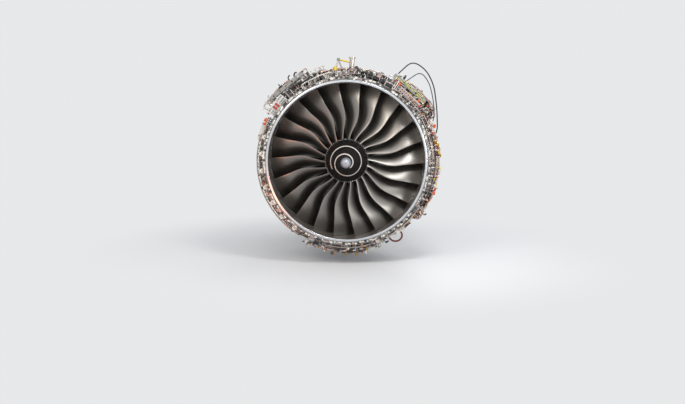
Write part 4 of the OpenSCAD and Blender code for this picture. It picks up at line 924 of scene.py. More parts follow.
@dataclass(frozen=True)
class PipeGroup:
    """Parallel pipes that run round the case and then along it."""

    name: str
    stops: tuple[Stop, ...]
    count: int = 1
    radius: float = 0.008
    gap: float = 0.026
    finish: str = "pipe_steel"
    bend: float = 0.06

    def routes(self) -> list[list[Vector]]:
        """Gives each pipe's line, with both ends led down to the case.

        Returns:
            One list of points per pipe.
        """
        lines = []
        for k in range(self.count):
            shift = (k - (self.count - 1) / 2) * self.gap
            moved = [(c + math.degrees(shift / r), r, y + shift) for c, r, y in self.stops]
            first, last = moved[0], moved[-1]
            lines.append(wrapped([(first[0], case_surface(first[2]) - SUNK, first[2]), *moved,
                                  (last[0], case_surface(last[2]) - SUNK, last[2])], self.bend))
        return lines


@dataclass(frozen=True)
class Tangle:
    """A crowded sector of the case, filled with short tidy runs from a fixed seed."""

    name: str
    clocks: tuple[float, float]
    stations: tuple[float, float]
    radii: tuple[float, float]
    count: int
    seed: int
    pipe: tuple[float, float] = (0.006, 0.011)
    finish: str = "pipe_pink"

    def groups(self) -> list[PipeGroup]:
        """Draws the sector's runs.

        Returns:
            One group of a single pipe for each run.
        """
        draw = random.Random(self.seed)
        runs = []
        for k in range(self.count):
            start = draw.uniform(self.clocks[0], self.clocks[1] - 6)
            reach = draw.uniform(5, min(26, self.clocks[1] - start))
            r = draw.uniform(*self.radii)
            front = draw.uniform(self.stations[0], self.stations[1])
            rear = min(self.stations[1], front + draw.uniform(0.04, 0.3))
            step = draw.uniform(-0.03, 0.03)
            middle = start + reach * draw.uniform(0.3, 0.7)
            stops = ((start, r, front), (middle, r, front), (middle + 1, r + step, rear),
                     (start + reach, r + step, rear))
            thick = draw.uniform(*self.pipe)
            runs.append(PipeGroup(f"{self.name}_{k}", stops, 1, thick, finish=self.finish, bend=0.045))
        return runs


class Shape(Enum):
    """The kinds of small fitting that crowd the case."""

    VALVE = "valves"
    PLUG = "plugs"
    BLOCK = "blocks"
    ELBOW = "elbows"


@dataclass(frozen=True)
class Scatter:
    """A crowd of small fittings over a sector of the case, from a fixed seed."""

    clocks: tuple[float, float]
    stations: tuple[float, float]
    radii: tuple[float, float]
    count: int
    seed: int
    sizes: tuple[float, float]
    finishes: tuple[str, ...]

    def places(self) -> list[tuple[Shape, str, Matrix, Matrix]]:
        """Draws the fittings.

        Returns:
            Shape, finish, the fitting's place and its post's place, for each.
        """
        draw = random.Random(self.seed)
        found = []
        for _ in range(self.count):
            clock, radius = draw.uniform(*self.clocks), draw.uniform(*self.radii)
            station, size = draw.uniform(*self.stations), draw.uniform(*self.sizes)
            turn = Matrix.Rotation(math.radians(draw.choice((0, 0, 90, 90, -90, 35))), 4, draw.choice("XY"))
            spin = Matrix.Rotation(math.radians(draw.uniform(0, 360)), 4, "Z")
            place = clock_frame(clock, radius, station) @ turn @ spin @ Matrix.Scale(size, 4)
            foot = case_surface(station) - SUNK
            post = clock_frame(clock, foot, station) @ Matrix.Diagonal((1, 1, radius - foot, 1))
            found.append((draw.choice(list(Shape)), draw.choice(self.finishes), place, post))
        return found


@dataclass(frozen=True)
class Port:
    """A capped connector that stands on the case."""

    clock: float
    station: float
    top: float
    cap: str
    size: float


@dataclass(frozen=True)
class ServiceBox:
    """A box of electronics or a valve on legs."""

    name: str
    clock: float
    station: float
    size: Stop
    bottom: float
    finish: str
    plugs: int = 2


@dataclass
class CaseServices:
    """Pipes, looms, clamps, connectors and boxes on the fan case."""

    bench: Bench
    groups: tuple[PipeGroup, ...] = (
        PipeGroup("oil_lines_right", ((58, 1.632, 0.06), (84, 1.632, 0.06), (112, 1.632, 0.1), (118, 1.632, 0.6)),
                  3, 0.0085, 0.03),
        PipeGroup("air_lines_right", ((52, 1.668, 0.1), (90, 1.672, 0.08), (126, 1.66, 0.1), (130, 1.66, 0.42)),
                  2, 0.012, 0.04, "pipe_pink"),
        PipeGroup("drain_line_right", ((64, 1.705, 0.16), (88, 1.72, 0.12), (104, 1.72, 0.14), (109, 1.7, 0.5)),
                  1, 0.017, finish="pipe_pink"),
        PipeGroup("signal_loom_right", ((60, 1.745, 0.24), (78, 1.765, 0.2), (96, 1.77, 0.22), (110, 1.75, 0.3)),
                  2, 0.011, 0.03, "harness_braid"),
        PipeGroup("power_loom_right", ((66, 1.69, 0.05), (92, 1.69, 0.045), (122, 1.67, 0.06)),
                  2, 0.01, 0.026, "harness_black"),
        PipeGroup("oil_lines_left", ((214, 1.625, 0.2), (250, 1.625, 0.21), (296, 1.625, 0.2)), 3, 0.009, 0.03),
        PipeGroup("vent_lines_left", ((208, 1.668, 0.22), (244, 1.672, 0.2), (286, 1.67, 0.22), (292, 1.66, 0.5)),
                  2, 0.012, 0.036, "pipe_pink"),
        PipeGroup("loom_left", ((212, 1.7, 0.12), (250, 1.72, 0.11), (288, 1.715, 0.12)),
                  2, 0.01, 0.026, "harness_braid"),
        PipeGroup("loop_lines_top", ((330, 1.68, 0.12), (341, 1.69, 0.06), (349, 1.71, 0.08), (356, 1.69, 0.3)),
                  3, 0.009, 0.03, "sleeve_white"),
        PipeGroup("dark_lines_top", ((4, 1.64, 0.06), (12, 1.66, 0.05), (22, 1.65, 0.07), (31, 1.64, 0.2)),
                  4, 0.011, 0.032, "harness_black"),
        PipeGroup("pink_lines_top", ((7, 1.7, 0.2), (18, 1.69, 0.18), (30, 1.68, 0.2), (36, 1.66, 0.4)),
                  3, 0.01, 0.03, "pipe_pink"),
        PipeGroup("lines_upper_left", ((300, 1.64, 0.45), (318, 1.67, 0.3), (332, 1.66, 0.2)),
                  4, 0.009, 0.03, "pipe_pink"),
        PipeGroup("lower_right_lines", ((122, 1.64, 0.06), (138, 1.64, 0.05), (154, 1.64, 0.08), (160, 1.65, 0.5)),
                  3, 0.01, 0.03),
        PipeGroup("lower_left_lines", ((200, 1.65, 0.3), (212, 1.64, 0.1), (226, 1.64, 0.08)),
                  3, 0.01, 0.03, "pipe_pink"),
        PipeGroup("bottom_lines", ((163, 1.66, 0.12), (180, 1.67, 0.1), (197, 1.66, 0.12)), 3, 0.012, 0.036),
        PipeGroup("bottom_fuel_lines", ((166, 1.72, 0.2), (180, 1.735, 0.18), (194, 1.72, 0.2)),
                  2, 0.014, 0.05, "pipe_dark"),
        PipeGroup("rear_loom", ((40, 1.53, 1.5), (100, 1.53, 1.5), (150, 1.53, 1.5), (158, 1.6, 1.3)),
                  2, 0.014, 0.04, "harness_braid"),
        PipeGroup("rear_lines", ((20, 1.52, 1.3), (60, 1.52, 1.3), (120, 1.52, 1.32), (152, 1.56, 1.3)),
                  3, 0.01, 0.03),
        PipeGroup("rear_lines_left", ((206, 1.55, 1.3), (250, 1.52, 1.32), (310, 1.52, 1.3), (342, 1.52, 1.34)),
                  3, 0.01, 0.03),
        PipeGroup("rear_loom_left", ((204, 1.58, 1.45), (250, 1.53, 1.5), (320, 1.53, 1.5)),
                  2, 0.014, 0.04, "harness_black"),
        PipeGroup("axial_lines_right", ((76, 1.6, 0.55), (76, 1.6, 1.0), (78, 1.53, 1.3), (78, 1.53, 1.9)),
                  4, 0.01, 0.03),
        PipeGroup("axial_lines_low", ((140, 1.62, 0.8), (140, 1.62, 1.0), (142, 1.54, 1.3), (142, 1.54, 1.9)),
                  3, 0.012, 0.036, "pipe_pink"),
        PipeGroup("axial_lines_left", ((262, 1.6, 0.4), (262, 1.6, 1.0), (262, 1.53, 1.3), (262, 1.53, 1.9)),
                  4, 0.011, 0.034),
        PipeGroup("axial_loom_left", ((240, 1.62, 0.3), (240, 1.62, 1.0), (240, 1.54, 1.3), (240, 1.54, 1.9)),
                  2, 0.016, 0.044, "harness_braid"),
        PipeGroup("axial_loom_top", ((334, 1.62, 0.4), (334, 1.62, 1.0), (334, 1.54, 1.3), (334, 1.54, 1.9)),
                  3, 0.014, 0.04, "harness_black"),
    )
    tangles: tuple[Tangle, ...] = (
        Tangle("right_steel", (56, 132), (0.04, 0.3), (1.62, 1.77), 46, 11, (0.007, 0.014), "pipe_steel"),
        Tangle("right_pink", (54, 130), (0.04, 0.34), (1.63, 1.77), 42, 12, (0.008, 0.017), "pipe_pink"),
        Tangle("right_dark", (54, 134), (0.06, 0.3), (1.6, 1.74), 30, 13, (0.009, 0.018), "harness_black"),
        Tangle("right_braid", (60, 120), (0.05, 0.2), (1.66, 1.77), 20, 23, (0.01, 0.016), "harness_braid"),
        Tangle("corner_right_pink", (30, 64), (0.2, 0.4), (1.72, 1.94), 26, 24, (0.009, 0.016), "pipe_pink"),
        Tangle("corner_right_dark", (28, 64), (0.16, 0.36), (1.64, 1.86), 22, 25, (0.01, 0.02), "harness_black"),
        Tangle("corner_right_steel", (26, 64), (0.06, 0.36), (1.62, 1.84), 30, 16, (0.007, 0.014), "pipe_steel"),
        Tangle("corner_left_pink", (302, 337), (0.2, 0.4), (1.68, 1.92), 24, 14, (0.008, 0.016), "pipe_pink"),
        Tangle("corner_left_dark", (302, 352), (0.1, 0.36), (1.6, 1.8), 24, 15, (0.01, 0.018), "harness_black"),
        Tangle("corner_left_white", (308, 348), (0.18, 0.34), (1.66, 1.88), 16, 26, (0.008, 0.014), "sleeve_white"),
        Tangle("top_dark", (6, 34), (0.05, 0.3), (1.6, 1.76), 26, 17, (0.01, 0.022), "harness_black"),
        Tangle("top_pink", (338, 388), (0.08, 0.34), (1.62, 1.78), 22, 27, (0.008, 0.014), "pipe_pink"),
        Tangle("left_pink", (212, 300), (0.16, 0.36), (1.6, 1.69), 30, 18, (0.007, 0.014), "pipe_pink"),
        Tangle("left_steel", (210, 298), (0.13, 0.34), (1.61, 1.7), 34, 19, (0.007, 0.014), "pipe_steel"),
        Tangle("left_white", (222, 280), (0.12, 0.24), (1.63, 1.71), 18, 28, (0.008, 0.014), "sleeve_white"),
        Tangle("left_dark", (208, 300), (0.1, 0.36), (1.59, 1.66), 22, 29, (0.01, 0.018), "harness_black"),
        Tangle("bottom_dark", (160, 202), (0.05, 0.4), (1.62, 1.78), 30, 20, (0.01, 0.02), "pipe_dark"),
        Tangle("bottom_steel", (154, 208), (0.04, 0.4), (1.62, 1.76), 24, 21, (0.008, 0.014), "pipe_steel"),
        Tangle("bottom_pink", (164, 198), (0.04, 0.3), (1.64, 1.78), 16, 30, (0.008, 0.014), "pipe_pink"),
        Tangle("lower_right_steel", (126, 158), (0.04, 0.3), (1.6, 1.68), 18, 22, (0.007, 0.013), "pipe_steel"),
        Tangle("lower_right_dark", (122, 160), (0.06, 0.3), (1.59, 1.66), 14, 31, (0.009, 0.016), "harness_black"),
    )
    scatters: tuple[Scatter, ...] = (
        Scatter((54, 128), (0.04, 0.2), (1.64, 1.77), 90, 41, (0.03, 0.06),
                ("pipe_steel", "pipe_pink", "bracket_cream", "box_dark", "brass_gold", "sleeve_white", "pipe_pink")),
        Scatter((28, 62), (0.19, 0.34), (1.66, 1.92), 64, 42, (0.03, 0.07),
                ("pipe_steel", "pipe_pink", "bracket_cream", "box_dark", "brass_gold", "sleeve_white")),
        Scatter((302, 338), (0.19, 0.34), (1.66, 1.9), 58, 43, (0.03, 0.065),
                ("pipe_steel", "pipe_pink", "bracket_cream", "box_dark", "sleeve_white", "pipe_dark")),
        Scatter((338, 386), (0.04, 0.2), (1.62, 1.76), 46, 44, (0.03, 0.06),
                ("pipe_steel", "box_dark", "bracket_cream", "pipe_dark", "sleeve_white", "pipe_pink")),
        Scatter((212, 281), (0.1, 0.2), (1.61, 1.68), 76, 45, (0.026, 0.05),
                ("bracket_cream", "sleeve_white", "pipe_steel", "box_dark", "bracket_cream", "pipe_pink")),
        Scatter((152, 208), (0.04, 0.2), (1.62, 1.78), 60, 46, (0.03, 0.06),
                ("pipe_dark", "box_dark", "brass_gold", "bracket_cream", "pipe_steel", "pipe_pink")),
        Scatter((124, 154), (0.04, 0.2), (1.6, 1.67), 30, 47, (0.03, 0.055),
                ("box_dark", "pipe_dark", "pipe_steel", "bracket_cream")),
        Scatter((58, 120), (0.04, 0.12), (1.68, 1.78), 16, 48, (0.028, 0.05),
                ("cap_orange", "cap_red", "cap_yellow")),
        Scatter((30, 60), (0.17, 0.2), (1.72, 1.92), 9, 49, (0.028, 0.05),
                ("cap_orange", "cap_yellow", "cap_orange")),
        Scatter((160, 300), (0.05, 0.12), (1.63, 1.72), 10, 50, (0.024, 0.04), ("cap_red", "cap_orange")),
    )
    boxes: tuple[ServiceBox, ...] = (
        ServiceBox("ignition_box_low", 127, 0.08, (0.2, 0.12, 0.07), 1.64, "box_dark"),
        ServiceBox("ignition_box_lower", 136.5, 0.09, (0.17, 0.14, 0.08), 1.63, "box_dark"),
        ServiceBox("sensor_box_right", 98, 0.4, (0.2, 0.16, 0.09), 1.61, "box_white", 3),
        ServiceBox("valve_block_right", 76.7, 0.09, (0.11, 0.1, 0.08), 1.68, "brass_gold", 1),
        ServiceBox("valve_block_top", 47, 0.12, (0.16, 0.1, 0.07), 1.67, "box_dark", 2),
        ServiceBox("relay_box_left", 222, 0.3, (0.24, 0.2, 0.08), 1.6, "box_white", 2),
        ServiceBox("pressure_box_left", 283, 0.42, (0.2, 0.24, 0.09), 1.6, "box_dark", 3),
        ServiceBox("drain_box", 180, 0.24, (0.2, 0.12, 0.09), 1.68, "box_white", 1),
        ServiceBox("junction_top_left", 342, 0.5, (0.26, 0.2, 0.08), 1.6, "box_dark", 3),
        ServiceBox("junction_rear_right", 66, 1.65, (0.26, 0.22, 0.09), 1.5, "box_white", 3),
        ServiceBox("junction_rear_left", 292, 1.65, (0.22, 0.26, 0.08), 1.5, "box_dark", 2),
    )
    ports: tuple[Port, ...] = (
        Port(34.5, 0.1, 1.75, "cap_orange", 0.024), Port(50, 0.14, 1.77, "cap_orange", 0.026),
        Port(53, 0.1, 1.72, "cap_red", 0.02), Port(79.5, 0.08, 1.735, "brass_gold", 0.03),
        Port(81.5, 0.14, 1.76, "cap_orange", 0.02), Port(110, 0.1, 1.75, "cap_orange", 0.03),
        Port(113, 0.12, 1.74, "cap_orange", 0.026), Port(72, 0.1, 1.75, "cap_yellow", 0.016),
        Port(90, 0.09, 1.72, "cap_yellow", 0.014), Port(104, 0.1, 1.76, "cap_yellow", 0.018),
        Port(62, 0.12, 1.74, "cap_red", 0.016), Port(68, 0.08, 1.71, "cap_orange", 0.018),
        Port(98, 0.1, 1.74, "cap_red", 0.016), Port(297, 0.1, 1.71, "cap_orange", 0.026),
        Port(294.5, 0.12, 1.7, "cap_orange", 0.024), Port(299, 0.12, 1.68, "cap_red", 0.016),
        Port(353, 0.1, 1.74, "cap_yellow", 0.034), Port(326, 0.2, 1.72, "cap_orange", 0.014),
        Port(342, 0.2, 1.7, "cap_orange", 0.016), Port(170, 0.16, 1.78, "cap_orange", 0.018),
        Port(174, 0.14, 1.8, "brass_gold", 0.024), Port(188, 0.14, 1.8, "brass_gold", 0.022),
        Port(193, 0.16, 1.77, "cap_orange", 0.016), Port(166, 0.3, 1.74, "cap_red", 0.014),
        Port(228, 0.2, 1.7, "cap_red", 0.014), Port(246, 0.2, 1.7, "cap_orange", 0.014),
        Port(268, 0.2, 1.71, "cap_red", 0.014), Port(118, 0.14, 1.71, "cap_red", 0.016),
        Port(125, 0.12, 1.7, "cap_yellow", 0.014), Port(150, 0.3, 1.68, "cap_orange", 0.014),
    )
    clamp_gap: float = 0.24
    lowest_clamp: float = 0.03
    pattern_pipe: float = 0.01
    pattern_port: float = 0.02

    def pipes(self) -> dict[tuple[str, float], list[list[Vector]]]:
        """Builds every pipe group as one piece per group, and each tangle as one piece per pipe size.

        Returns:
            The routes by finish and radius, for the clamps.
        """
        laid: dict[tuple[str, float], list[list[Vector]]] = {}
        for group in self.groups:
            routes = group.routes()
            self.bench.tubes(group.name, routes, group.radius, group.finish)
            laid.setdefault((group.finish, group.radius), []).extend(routes)
        for tangle in self.tangles:
            sizes: dict[float, list[list[Vector]]] = {}
            for run in tangle.groups():
                size = round(run.radius / 0.0025) * 0.0025
                sizes.setdefault(size, []).extend(run.routes())
            for k, (size, routes) in enumerate(sorted(sizes.items())):
                self.bench.tubes(f"{tangle.name}_lines_{k}", routes, size, tangle.finish, sides=2)
                laid.setdefault((tangle.finish, size), []).extend(routes)
        return laid

    def clamps(self, laid: dict[tuple[str, float], list[list[Vector]]]) -> None:
        """Sets a banded clamp with a leg at even steps along the pipes, and a nut at each end.

        Args:
            laid: The routes by finish and radius.
        """
        bands: list[Matrix] = []
        legs: list[Matrix] = []
        nuts: list[Matrix] = []
        for (_, radius), routes in laid.items():
            wide = radius / self.pattern_pipe
            for route in routes:
                walked = self.clamp_gap * 0.5
                for a, b in zip(route, route[1:]):
                    walked += (b - a).length
                    height = math.hypot(a.x, a.z)
                    floor = case_surface(a.y)
                    if walked < self.clamp_gap or height < floor + self.lowest_clamp or (b - a).length < 0.004:
                        continue
                    walked = 0.0
                    bands.append(aimed(a, b - a) @ Matrix.Diagonal((wide, wide, 1, 1)))
                    foot = clock_frame(math.degrees(math.atan2(a.x, a.z)), floor - SUNK, a.y)
                    legs.append(foot @ Matrix.Diagonal((1, 1, height - floor, 1)))
                for end, inner in ((route[0], route[1]), (route[-1], route[-2])):
                    nuts.append(aimed(end, inner - end) @ Matrix.Scale(wide, 4))
        band = self.bench.rod(0.0125, [(0.014, 0.0125)], 12)
        band.data.transform(Matrix.Translation((0, 0, -0.007)))
        self.bench.copies("pipe_clamp_bands", band, bands, "bolt_steel")
        leg = self.bench.block((0.018, 0.0035, 1.0), 0.0008, 1)
        self.bench.copies("pipe_clamp_legs", leg, legs, "bracket_cream")
        nut = self.bench.rod(0.019, [(0.004, 0.019), (0.016, 0.016), (0.006, 0.0135)], 6)
        self.bench.copies("pipe_end_nuts", nut, nuts, "bolt_steel")

    def connectors(self) -> None:
        """Stands the capped connectors on the case, each on its stalk."""
        stalks, caps = [], {}
        for port in self.ports:
            foot, wide = case_surface(port.station), port.size / self.pattern_port
            frame = clock_frame(port.clock, foot - SUNK, port.station)
            stalks.append(frame @ Matrix.Diagonal((wide, wide, port.top - foot, 1)))
            head = clock_frame(port.clock, port.top - 0.01, port.station)
            caps.setdefault(port.cap, []).append(head @ Matrix.Scale(wide, 4))
        stalk = self.bench.rod(0.02, [(0.06, 0.012), (0.86, 0.012), (0.08, 0.016)], 14)
        self.bench.copies("connector_stalks", stalk, stalks, "gear_steel")
        for finish, places in caps.items():
            cap = self.bench.rod(0.019, [(0.008, 0.022), (0.02, 0.021), (0.012, 0.017), (0.004, 0.012)], 18)
            self.bench.copies(f"connector_{finish}", cap, places, finish)

    def pattern(self, shape: Shape) -> bpy.types.Object:
        """Makes one small fitting of size 1 at the origin.

        Args:
            shape: Its kind.

        Returns:
            The new object.
        """
        if shape is Shape.VALVE:
            return self.bench.rod(0.5, [(0.25, 0.36), (0.5, 0.5), (0.2, 0.3), (0.2, 0.22)], 10)
        if shape is Shape.PLUG:
            return self.bench.rod(0.34, [(0.35, 0.48), (0.16, 0.3), (0.6, 0.2), (0.25, 0.12)], 8)
        if shape is Shape.ELBOW:
            bend = [Vector((0, 0, 0)), *(Vector((0.7 - 0.7 * math.cos(a), 0, 0.5 + 0.7 * math.sin(a)))
                                         for a in (0.0, 0.4, 0.8, 1.2, 1.57)), Vector((1.3, 0, 1.2))]
            return self.bench.drawn([bend], 0.24, 1)
        body = self.bench.block((1.4, 0.9, 0.7), 0.08, 1)
        self.bench.raise_lid(body, 0.7, 0.16, 0.3)
        return body

    def fittings(self) -> None:
        """Stands the crowd of small fittings on their posts."""
        kinds: dict[tuple[Shape, str], list[Matrix]] = {}
        posts: list[Matrix] = []
        for scatter in self.scatters:
            for shape, finish, place, post in scatter.places():
                kinds.setdefault((shape, finish), []).append(place)
                posts.append(post)
        for (shape, finish), places in kinds.items():
            self.bench.copies(f"small_{shape.value}_{finish}", self.pattern(shape), places, finish)
        post = self.bench.rod(0.009, [(0.06, 0.0055), (0.94, 0.0055)], 6)
        self.bench.copies("fitting_posts", post, posts, "bolt_steel")

    def cabinets(self) -> None:
        """Builds each box with its lid, legs, screws and plugs."""
        legs, screws, plugs = [], [], []
        for box in self.boxes:
            width, depth, height = box.size
            body = self.bench.block((width, depth, height), 0.006, 3)
            self.bench.raise_lid(body, height, 0.012, 0.004)
            body.matrix_world = clock_frame(box.clock, box.bottom, box.station + depth / 2)
            self.bench.fasten(body, box.name, box.finish)
            for x in (-width * 0.38, width * 0.38):
                for y in (0.02, depth - 0.02):
                    frame = clock_frame(box.clock, 0, box.station + y) @ Matrix.Translation((x, 0, 0))
                    foot = math.sqrt(case_surface(box.station + y) ** 2 - x * x) - SUNK
                    stretch = Matrix.Diagonal((1, 1, box.bottom - foot + 0.004, 1))
                    legs.append(frame @ Matrix.Translation((0, 0, foot)) @ stretch)
                    screws.append(frame @ Matrix.Translation((0, 0, box.bottom + height + 0.001)))
            for k in range(box.plugs):
                x = width * ((k + 0.5) / box.plugs - 0.5)
                plugs.append(clock_frame(box.clock, box.bottom + height / 2, box.station + 0.002)
                             @ Matrix.Translation((x, 0, 0)) @ FACE_FORWARD)
        leg = self.bench.rod(0.012, [(0.1, 0.008), (0.9, 0.008)], 10)
        self.bench.copies("box_legs", leg, legs, "bolt_steel")
        screw = self.bench.rod(0.006, [(0.003, 0.0045), (0.004, 0.004)], 6)
        self.bench.copies("box_screws", screw, screws, "bolt_steel")
        plug = self.bench.rod(0.015, [(0.012, 0.0175), (0.014, 0.013), (0.02, 0.009)], 16)
        self.bench.copies("box_plugs", plug, plugs, "brass_gold")

    def build(self) -> None:
        """Builds pipes, clamps, connectors, fittings and boxes."""
        laid = self.pipes()
        self.clamps(laid)
        self.connectors()
        self.fittings()
        self.cabinets()


# ---------------------------------------------------------------- larger equipment on the fan case


@dataclass
class SideEquipment:
    """The bottle, panels, struts, hoses and long cables that stand out in the crowd on the case."""

    bench: Bench
    beam_radius: float = 1.8
    beam_clock: float = 40.9

    @staticmethod
    def across(points: tuple[tuple[float, float], ...], station: float, drift: float = 0.0) -> list[Vector]:
        """Gives a rounded line through points seen from the front.

        Args:
            points: Places as X and Z.
            station: The first point's station.
            drift: How far aft each next point lies.

        Returns:
            The line's points.
        """
        return filleted([Vector((x, station + drift * k, z)) for k, (x, z) in enumerate(points)], 0.3, 7)

    def bottle(self) -> None:
        """Builds the white pressure bottle on the left, with its straps and feet."""
        clock, radius, station, length = 290.4, 1.7, 0.25, 0.46
        lay = clock_frame(clock, radius, station) @ Matrix.Rotation(math.radians(90), 4, "Y")
        steps = [(0.02, 0.052), (0.012, 0.064), (0.012, 0.07), (length - 0.088, 0.064), (0.012, 0.052), (0.012, 0.03),
                 (0.02, 0.016), (0.03, 0.016)]
        body = self.bench.rod(0.032, steps, 32)
        body.data.transform(Matrix.Translation((0, 0, -length / 2)))
        self.bench.copies("pressure_bottle", body, [lay], "sleeve_white")
        strap = self.bench.rod(0.072, [(0.004, 0.0735), (0.02, 0.072), (0.004, 0.072)], 32)
        self.bench.copies("bottle_straps", strap, [lay @ Matrix.Translation((0, 0, z)) for z in (-0.14, 0.1)],
                          "bolt_steel")
        foot = self.bench.block((0.03, 0.05, 0.11), 0.004, 2)
        feet = []
        for x in (-0.126, 0.114):
            low = math.sqrt(case_surface(station) ** 2 - x * x) - 0.004
            feet.append(clock_frame(clock, 0, station) @ Matrix.Translation((x, 0, low)))
        self.bench.copies("bottle_feet", foot, feet, "bracket_cream")

    def panels(self) -> None:
        """Builds the studded panel and the green strips under the right beam, and the dark bay at the top."""
        frame = clock_frame(self.beam_clock + 2, 0, 0.13)
        panel = self.bench.block((0.6, 0.03, 0.12), 0.006, 2)
        self.bench.copies("studded_panel", panel, [frame @ Matrix.Translation((0, 0, 1.63))], "panel_rose")
        stud = self.bench.rod(0.012, [(0.005, 0.009), (0.008, 0.006), (0.003, 0.004)], 10)
        studs = [frame @ Matrix.Translation((-0.26 + 0.052 * k, -0.0148, 1.665 + 0.05 * row)) @ FACE_FORWARD
                 for k in range(11) for row in (0, 1)]
        self.bench.copies("panel_studs", stud, studs, "rubber_black")
        frame = clock_frame(self.beam_clock, self.beam_radius, 0.145)
        strip = self.bench.block((0.2, 0.012, 0.016), 0.002, 2)
        strips = [frame @ Matrix.Translation((x, 0, z)) for x, z in ((-0.24, 0.018), (0.0, 0.022), (0.26, 0.018),
                                                                    (-0.1, 0.05), (0.18, 0.052))]
        self.bench.copies("beam_strips", strip, strips, "strip_green")
        bay = self.bench.block((0.3, 0.2, 0.12), 0.01, 2)
        self.bench.copies("dark_bay", bay, [clock_frame(29, 1.6, 0.2)], "box_dark")

    def long_lines(self) -> None:
        """Lays the cables, pipes and hoses that arch over the rest."""
        tubes = self.bench.tubes
        tubes("outer_cable_right",
              [self.across(((0.98, 1.66), (1.24, 1.9), (1.5, 1.74), (1.655, 1.45), (1.72, 1.0), (1.735, 0.6),
                            (1.66, 0.44), (1.46, 0.42)), 0.2)], 0.012, "harness_black")
        tubes("second_cable_right",
              [self.across(((1.1, 1.5), (1.4, 1.7), (1.56, 1.5), (1.64, 1.2), (1.68, 0.8), (1.48, 0.42)), 0.16)],
              0.009, "harness_black")
        tubes("outer_pipe_right",
              [self.across(((1.27, 0.86), (1.4, 0.86), (1.58, 0.64), (1.72, 0.4), (1.72, 0.2), (1.52, 0.12)), 0.14)],
              0.017, "pipe_pink")
        tubes("air_pipe_right",
              [self.across(((1.49, -0.36), (1.7, -0.36), (1.73, -0.1), (1.7, 0.3), (1.5, 0.34)), 0.18)],
              0.022, "pipe_steel")
        loop = [on_clock(0, 0, 0.16) + Vector((0.95 + 0.13 * math.cos(a), 0.004 * k, -1.44 + 0.12 * math.sin(a)))
                for k, a in enumerate([math.radians(150 - 24 * i) for i in range(15)])]
        tubes("lower_hose", [[Vector((0.8, 0.16, -1.31)), *loop, Vector((0.86, 0.24, -1.27))]], 0.017, "hose_red")
        ring = [Vector((0.9 + 0.07 * math.cos(a), 0.12, -1.42 + 0.07 * math.sin(a)))
                for a in [math.radians(24 * i) for i in range(16)]]
        tubes("lower_pale_loop", [[Vector((0.84, 0.12, -1.29)), *ring[6:], *ring[1:7], Vector((0.8, 0.12, -1.32))]],
              0.009, "sleeve_white")
        tubes("top_dark_bundle", [self.across(((0.2 + 0.03 * k, 1.55), (0.28 + 0.04 * k, 1.72 - 0.015 * k),
                                               (0.6 + 0.02 * k, 1.56), (0.72, 1.36)), 0.1 + 0.02 * k)
                                  for k in range(5)], 0.016, "harness_black")

    def struts(self) -> None:
        """Builds the small truss beside the bleed duct, with its yellow tie and end fittings."""
        tubes = self.bench.tubes
        tubes("top_struts", [[Vector((0.0, 0.3, 1.54)), Vector((-0.16, 0.3, 1.93))],
                             [Vector((-0.3, 0.3, 1.5)), Vector((-0.16, 0.3, 1.93))]], 0.016, "pipe_steel")
        tubes("top_tie", [[Vector((-0.18, 0.3, 1.935)), Vector((0.075, 0.32, 1.88))]], 0.017, "cap_yellow")
        tubes("top_loops", [[Vector((-0.26 + 0.05 * k + 0.045 * math.cos(a), 0.16, 1.63 + 0.06 * math.sin(a)))
                             for a in [math.radians(-70 + 24 * i) for i in range(14)]] for k in range(3)],
              0.009, "sleeve_white")
        knuckle = self.bench.rod(0.024, [(0.01, 0.034), (0.03, 0.024), (0.012, 0.014)], 16)
        places = [Matrix.Translation(end) @ FACE_FORWARD for end in ((-0.16, 0.325, 1.93), (0.075, 0.345, 1.88))]
        self.bench.copies("strut_knuckles", knuckle, places, "bolt_steel")

    def control_caps(self) -> None:
        """Puts red caps on the control box's plugs, small sockets on its front face, and short looms from that face.
        """
        frame = clock_frame(309, 1.607, 0.06)
        cap = self.bench.rod(0.0215, [(0.012, 0.024), (0.008, 0.0215), (0.0085, 0.017), (0.003, 0.012)], 18)
        caps = [frame @ Matrix.Translation((x, -0.0005, z)) @ FACE_FORWARD
                for x in (-0.06, 0.01) for z in (0.06, 0.11)]
        self.bench.copies("control_box_caps", cap, caps, "cap_red")
        socket = self.bench.rod(0.014, [(0.006, 0.011), (0.012, 0.007), (0.003, 0.005)], 12)
        sockets = [frame @ Matrix.Translation((x, 0.0005, z)) @ FACE_FORWARD
                   for x in (-0.17, -0.13, 0.07, 0.11, 0.15, 0.18) for z in (0.035, 0.075, 0.135)]
        self.bench.copies("control_box_sockets", socket, sockets, "bolt_steel")
        looms = []
        for k, x in enumerate((-0.15, -0.11, 0.09, 0.13)):
            start = frame @ Vector((x, -0.012, 0.035))
            looms.append(filleted([start, frame @ Vector((x, -0.035, 0.02)),
                                   frame @ Vector((x + 0.02 * k, -0.03, -0.03)),
                                   frame @ Vector((x + 0.03 * k, 0.03, -0.067))], 0.02, 4))
        self.bench.tubes("control_box_looms", looms, 0.009, "harness_braid")

    def build(self) -> None:
        """Builds the equipment in order."""
        self.control_caps()
        self.bottle()
        self.panels()
        self.long_lines()
        self.struts()


# ---------------------------------------------------------------- bolts and flanges


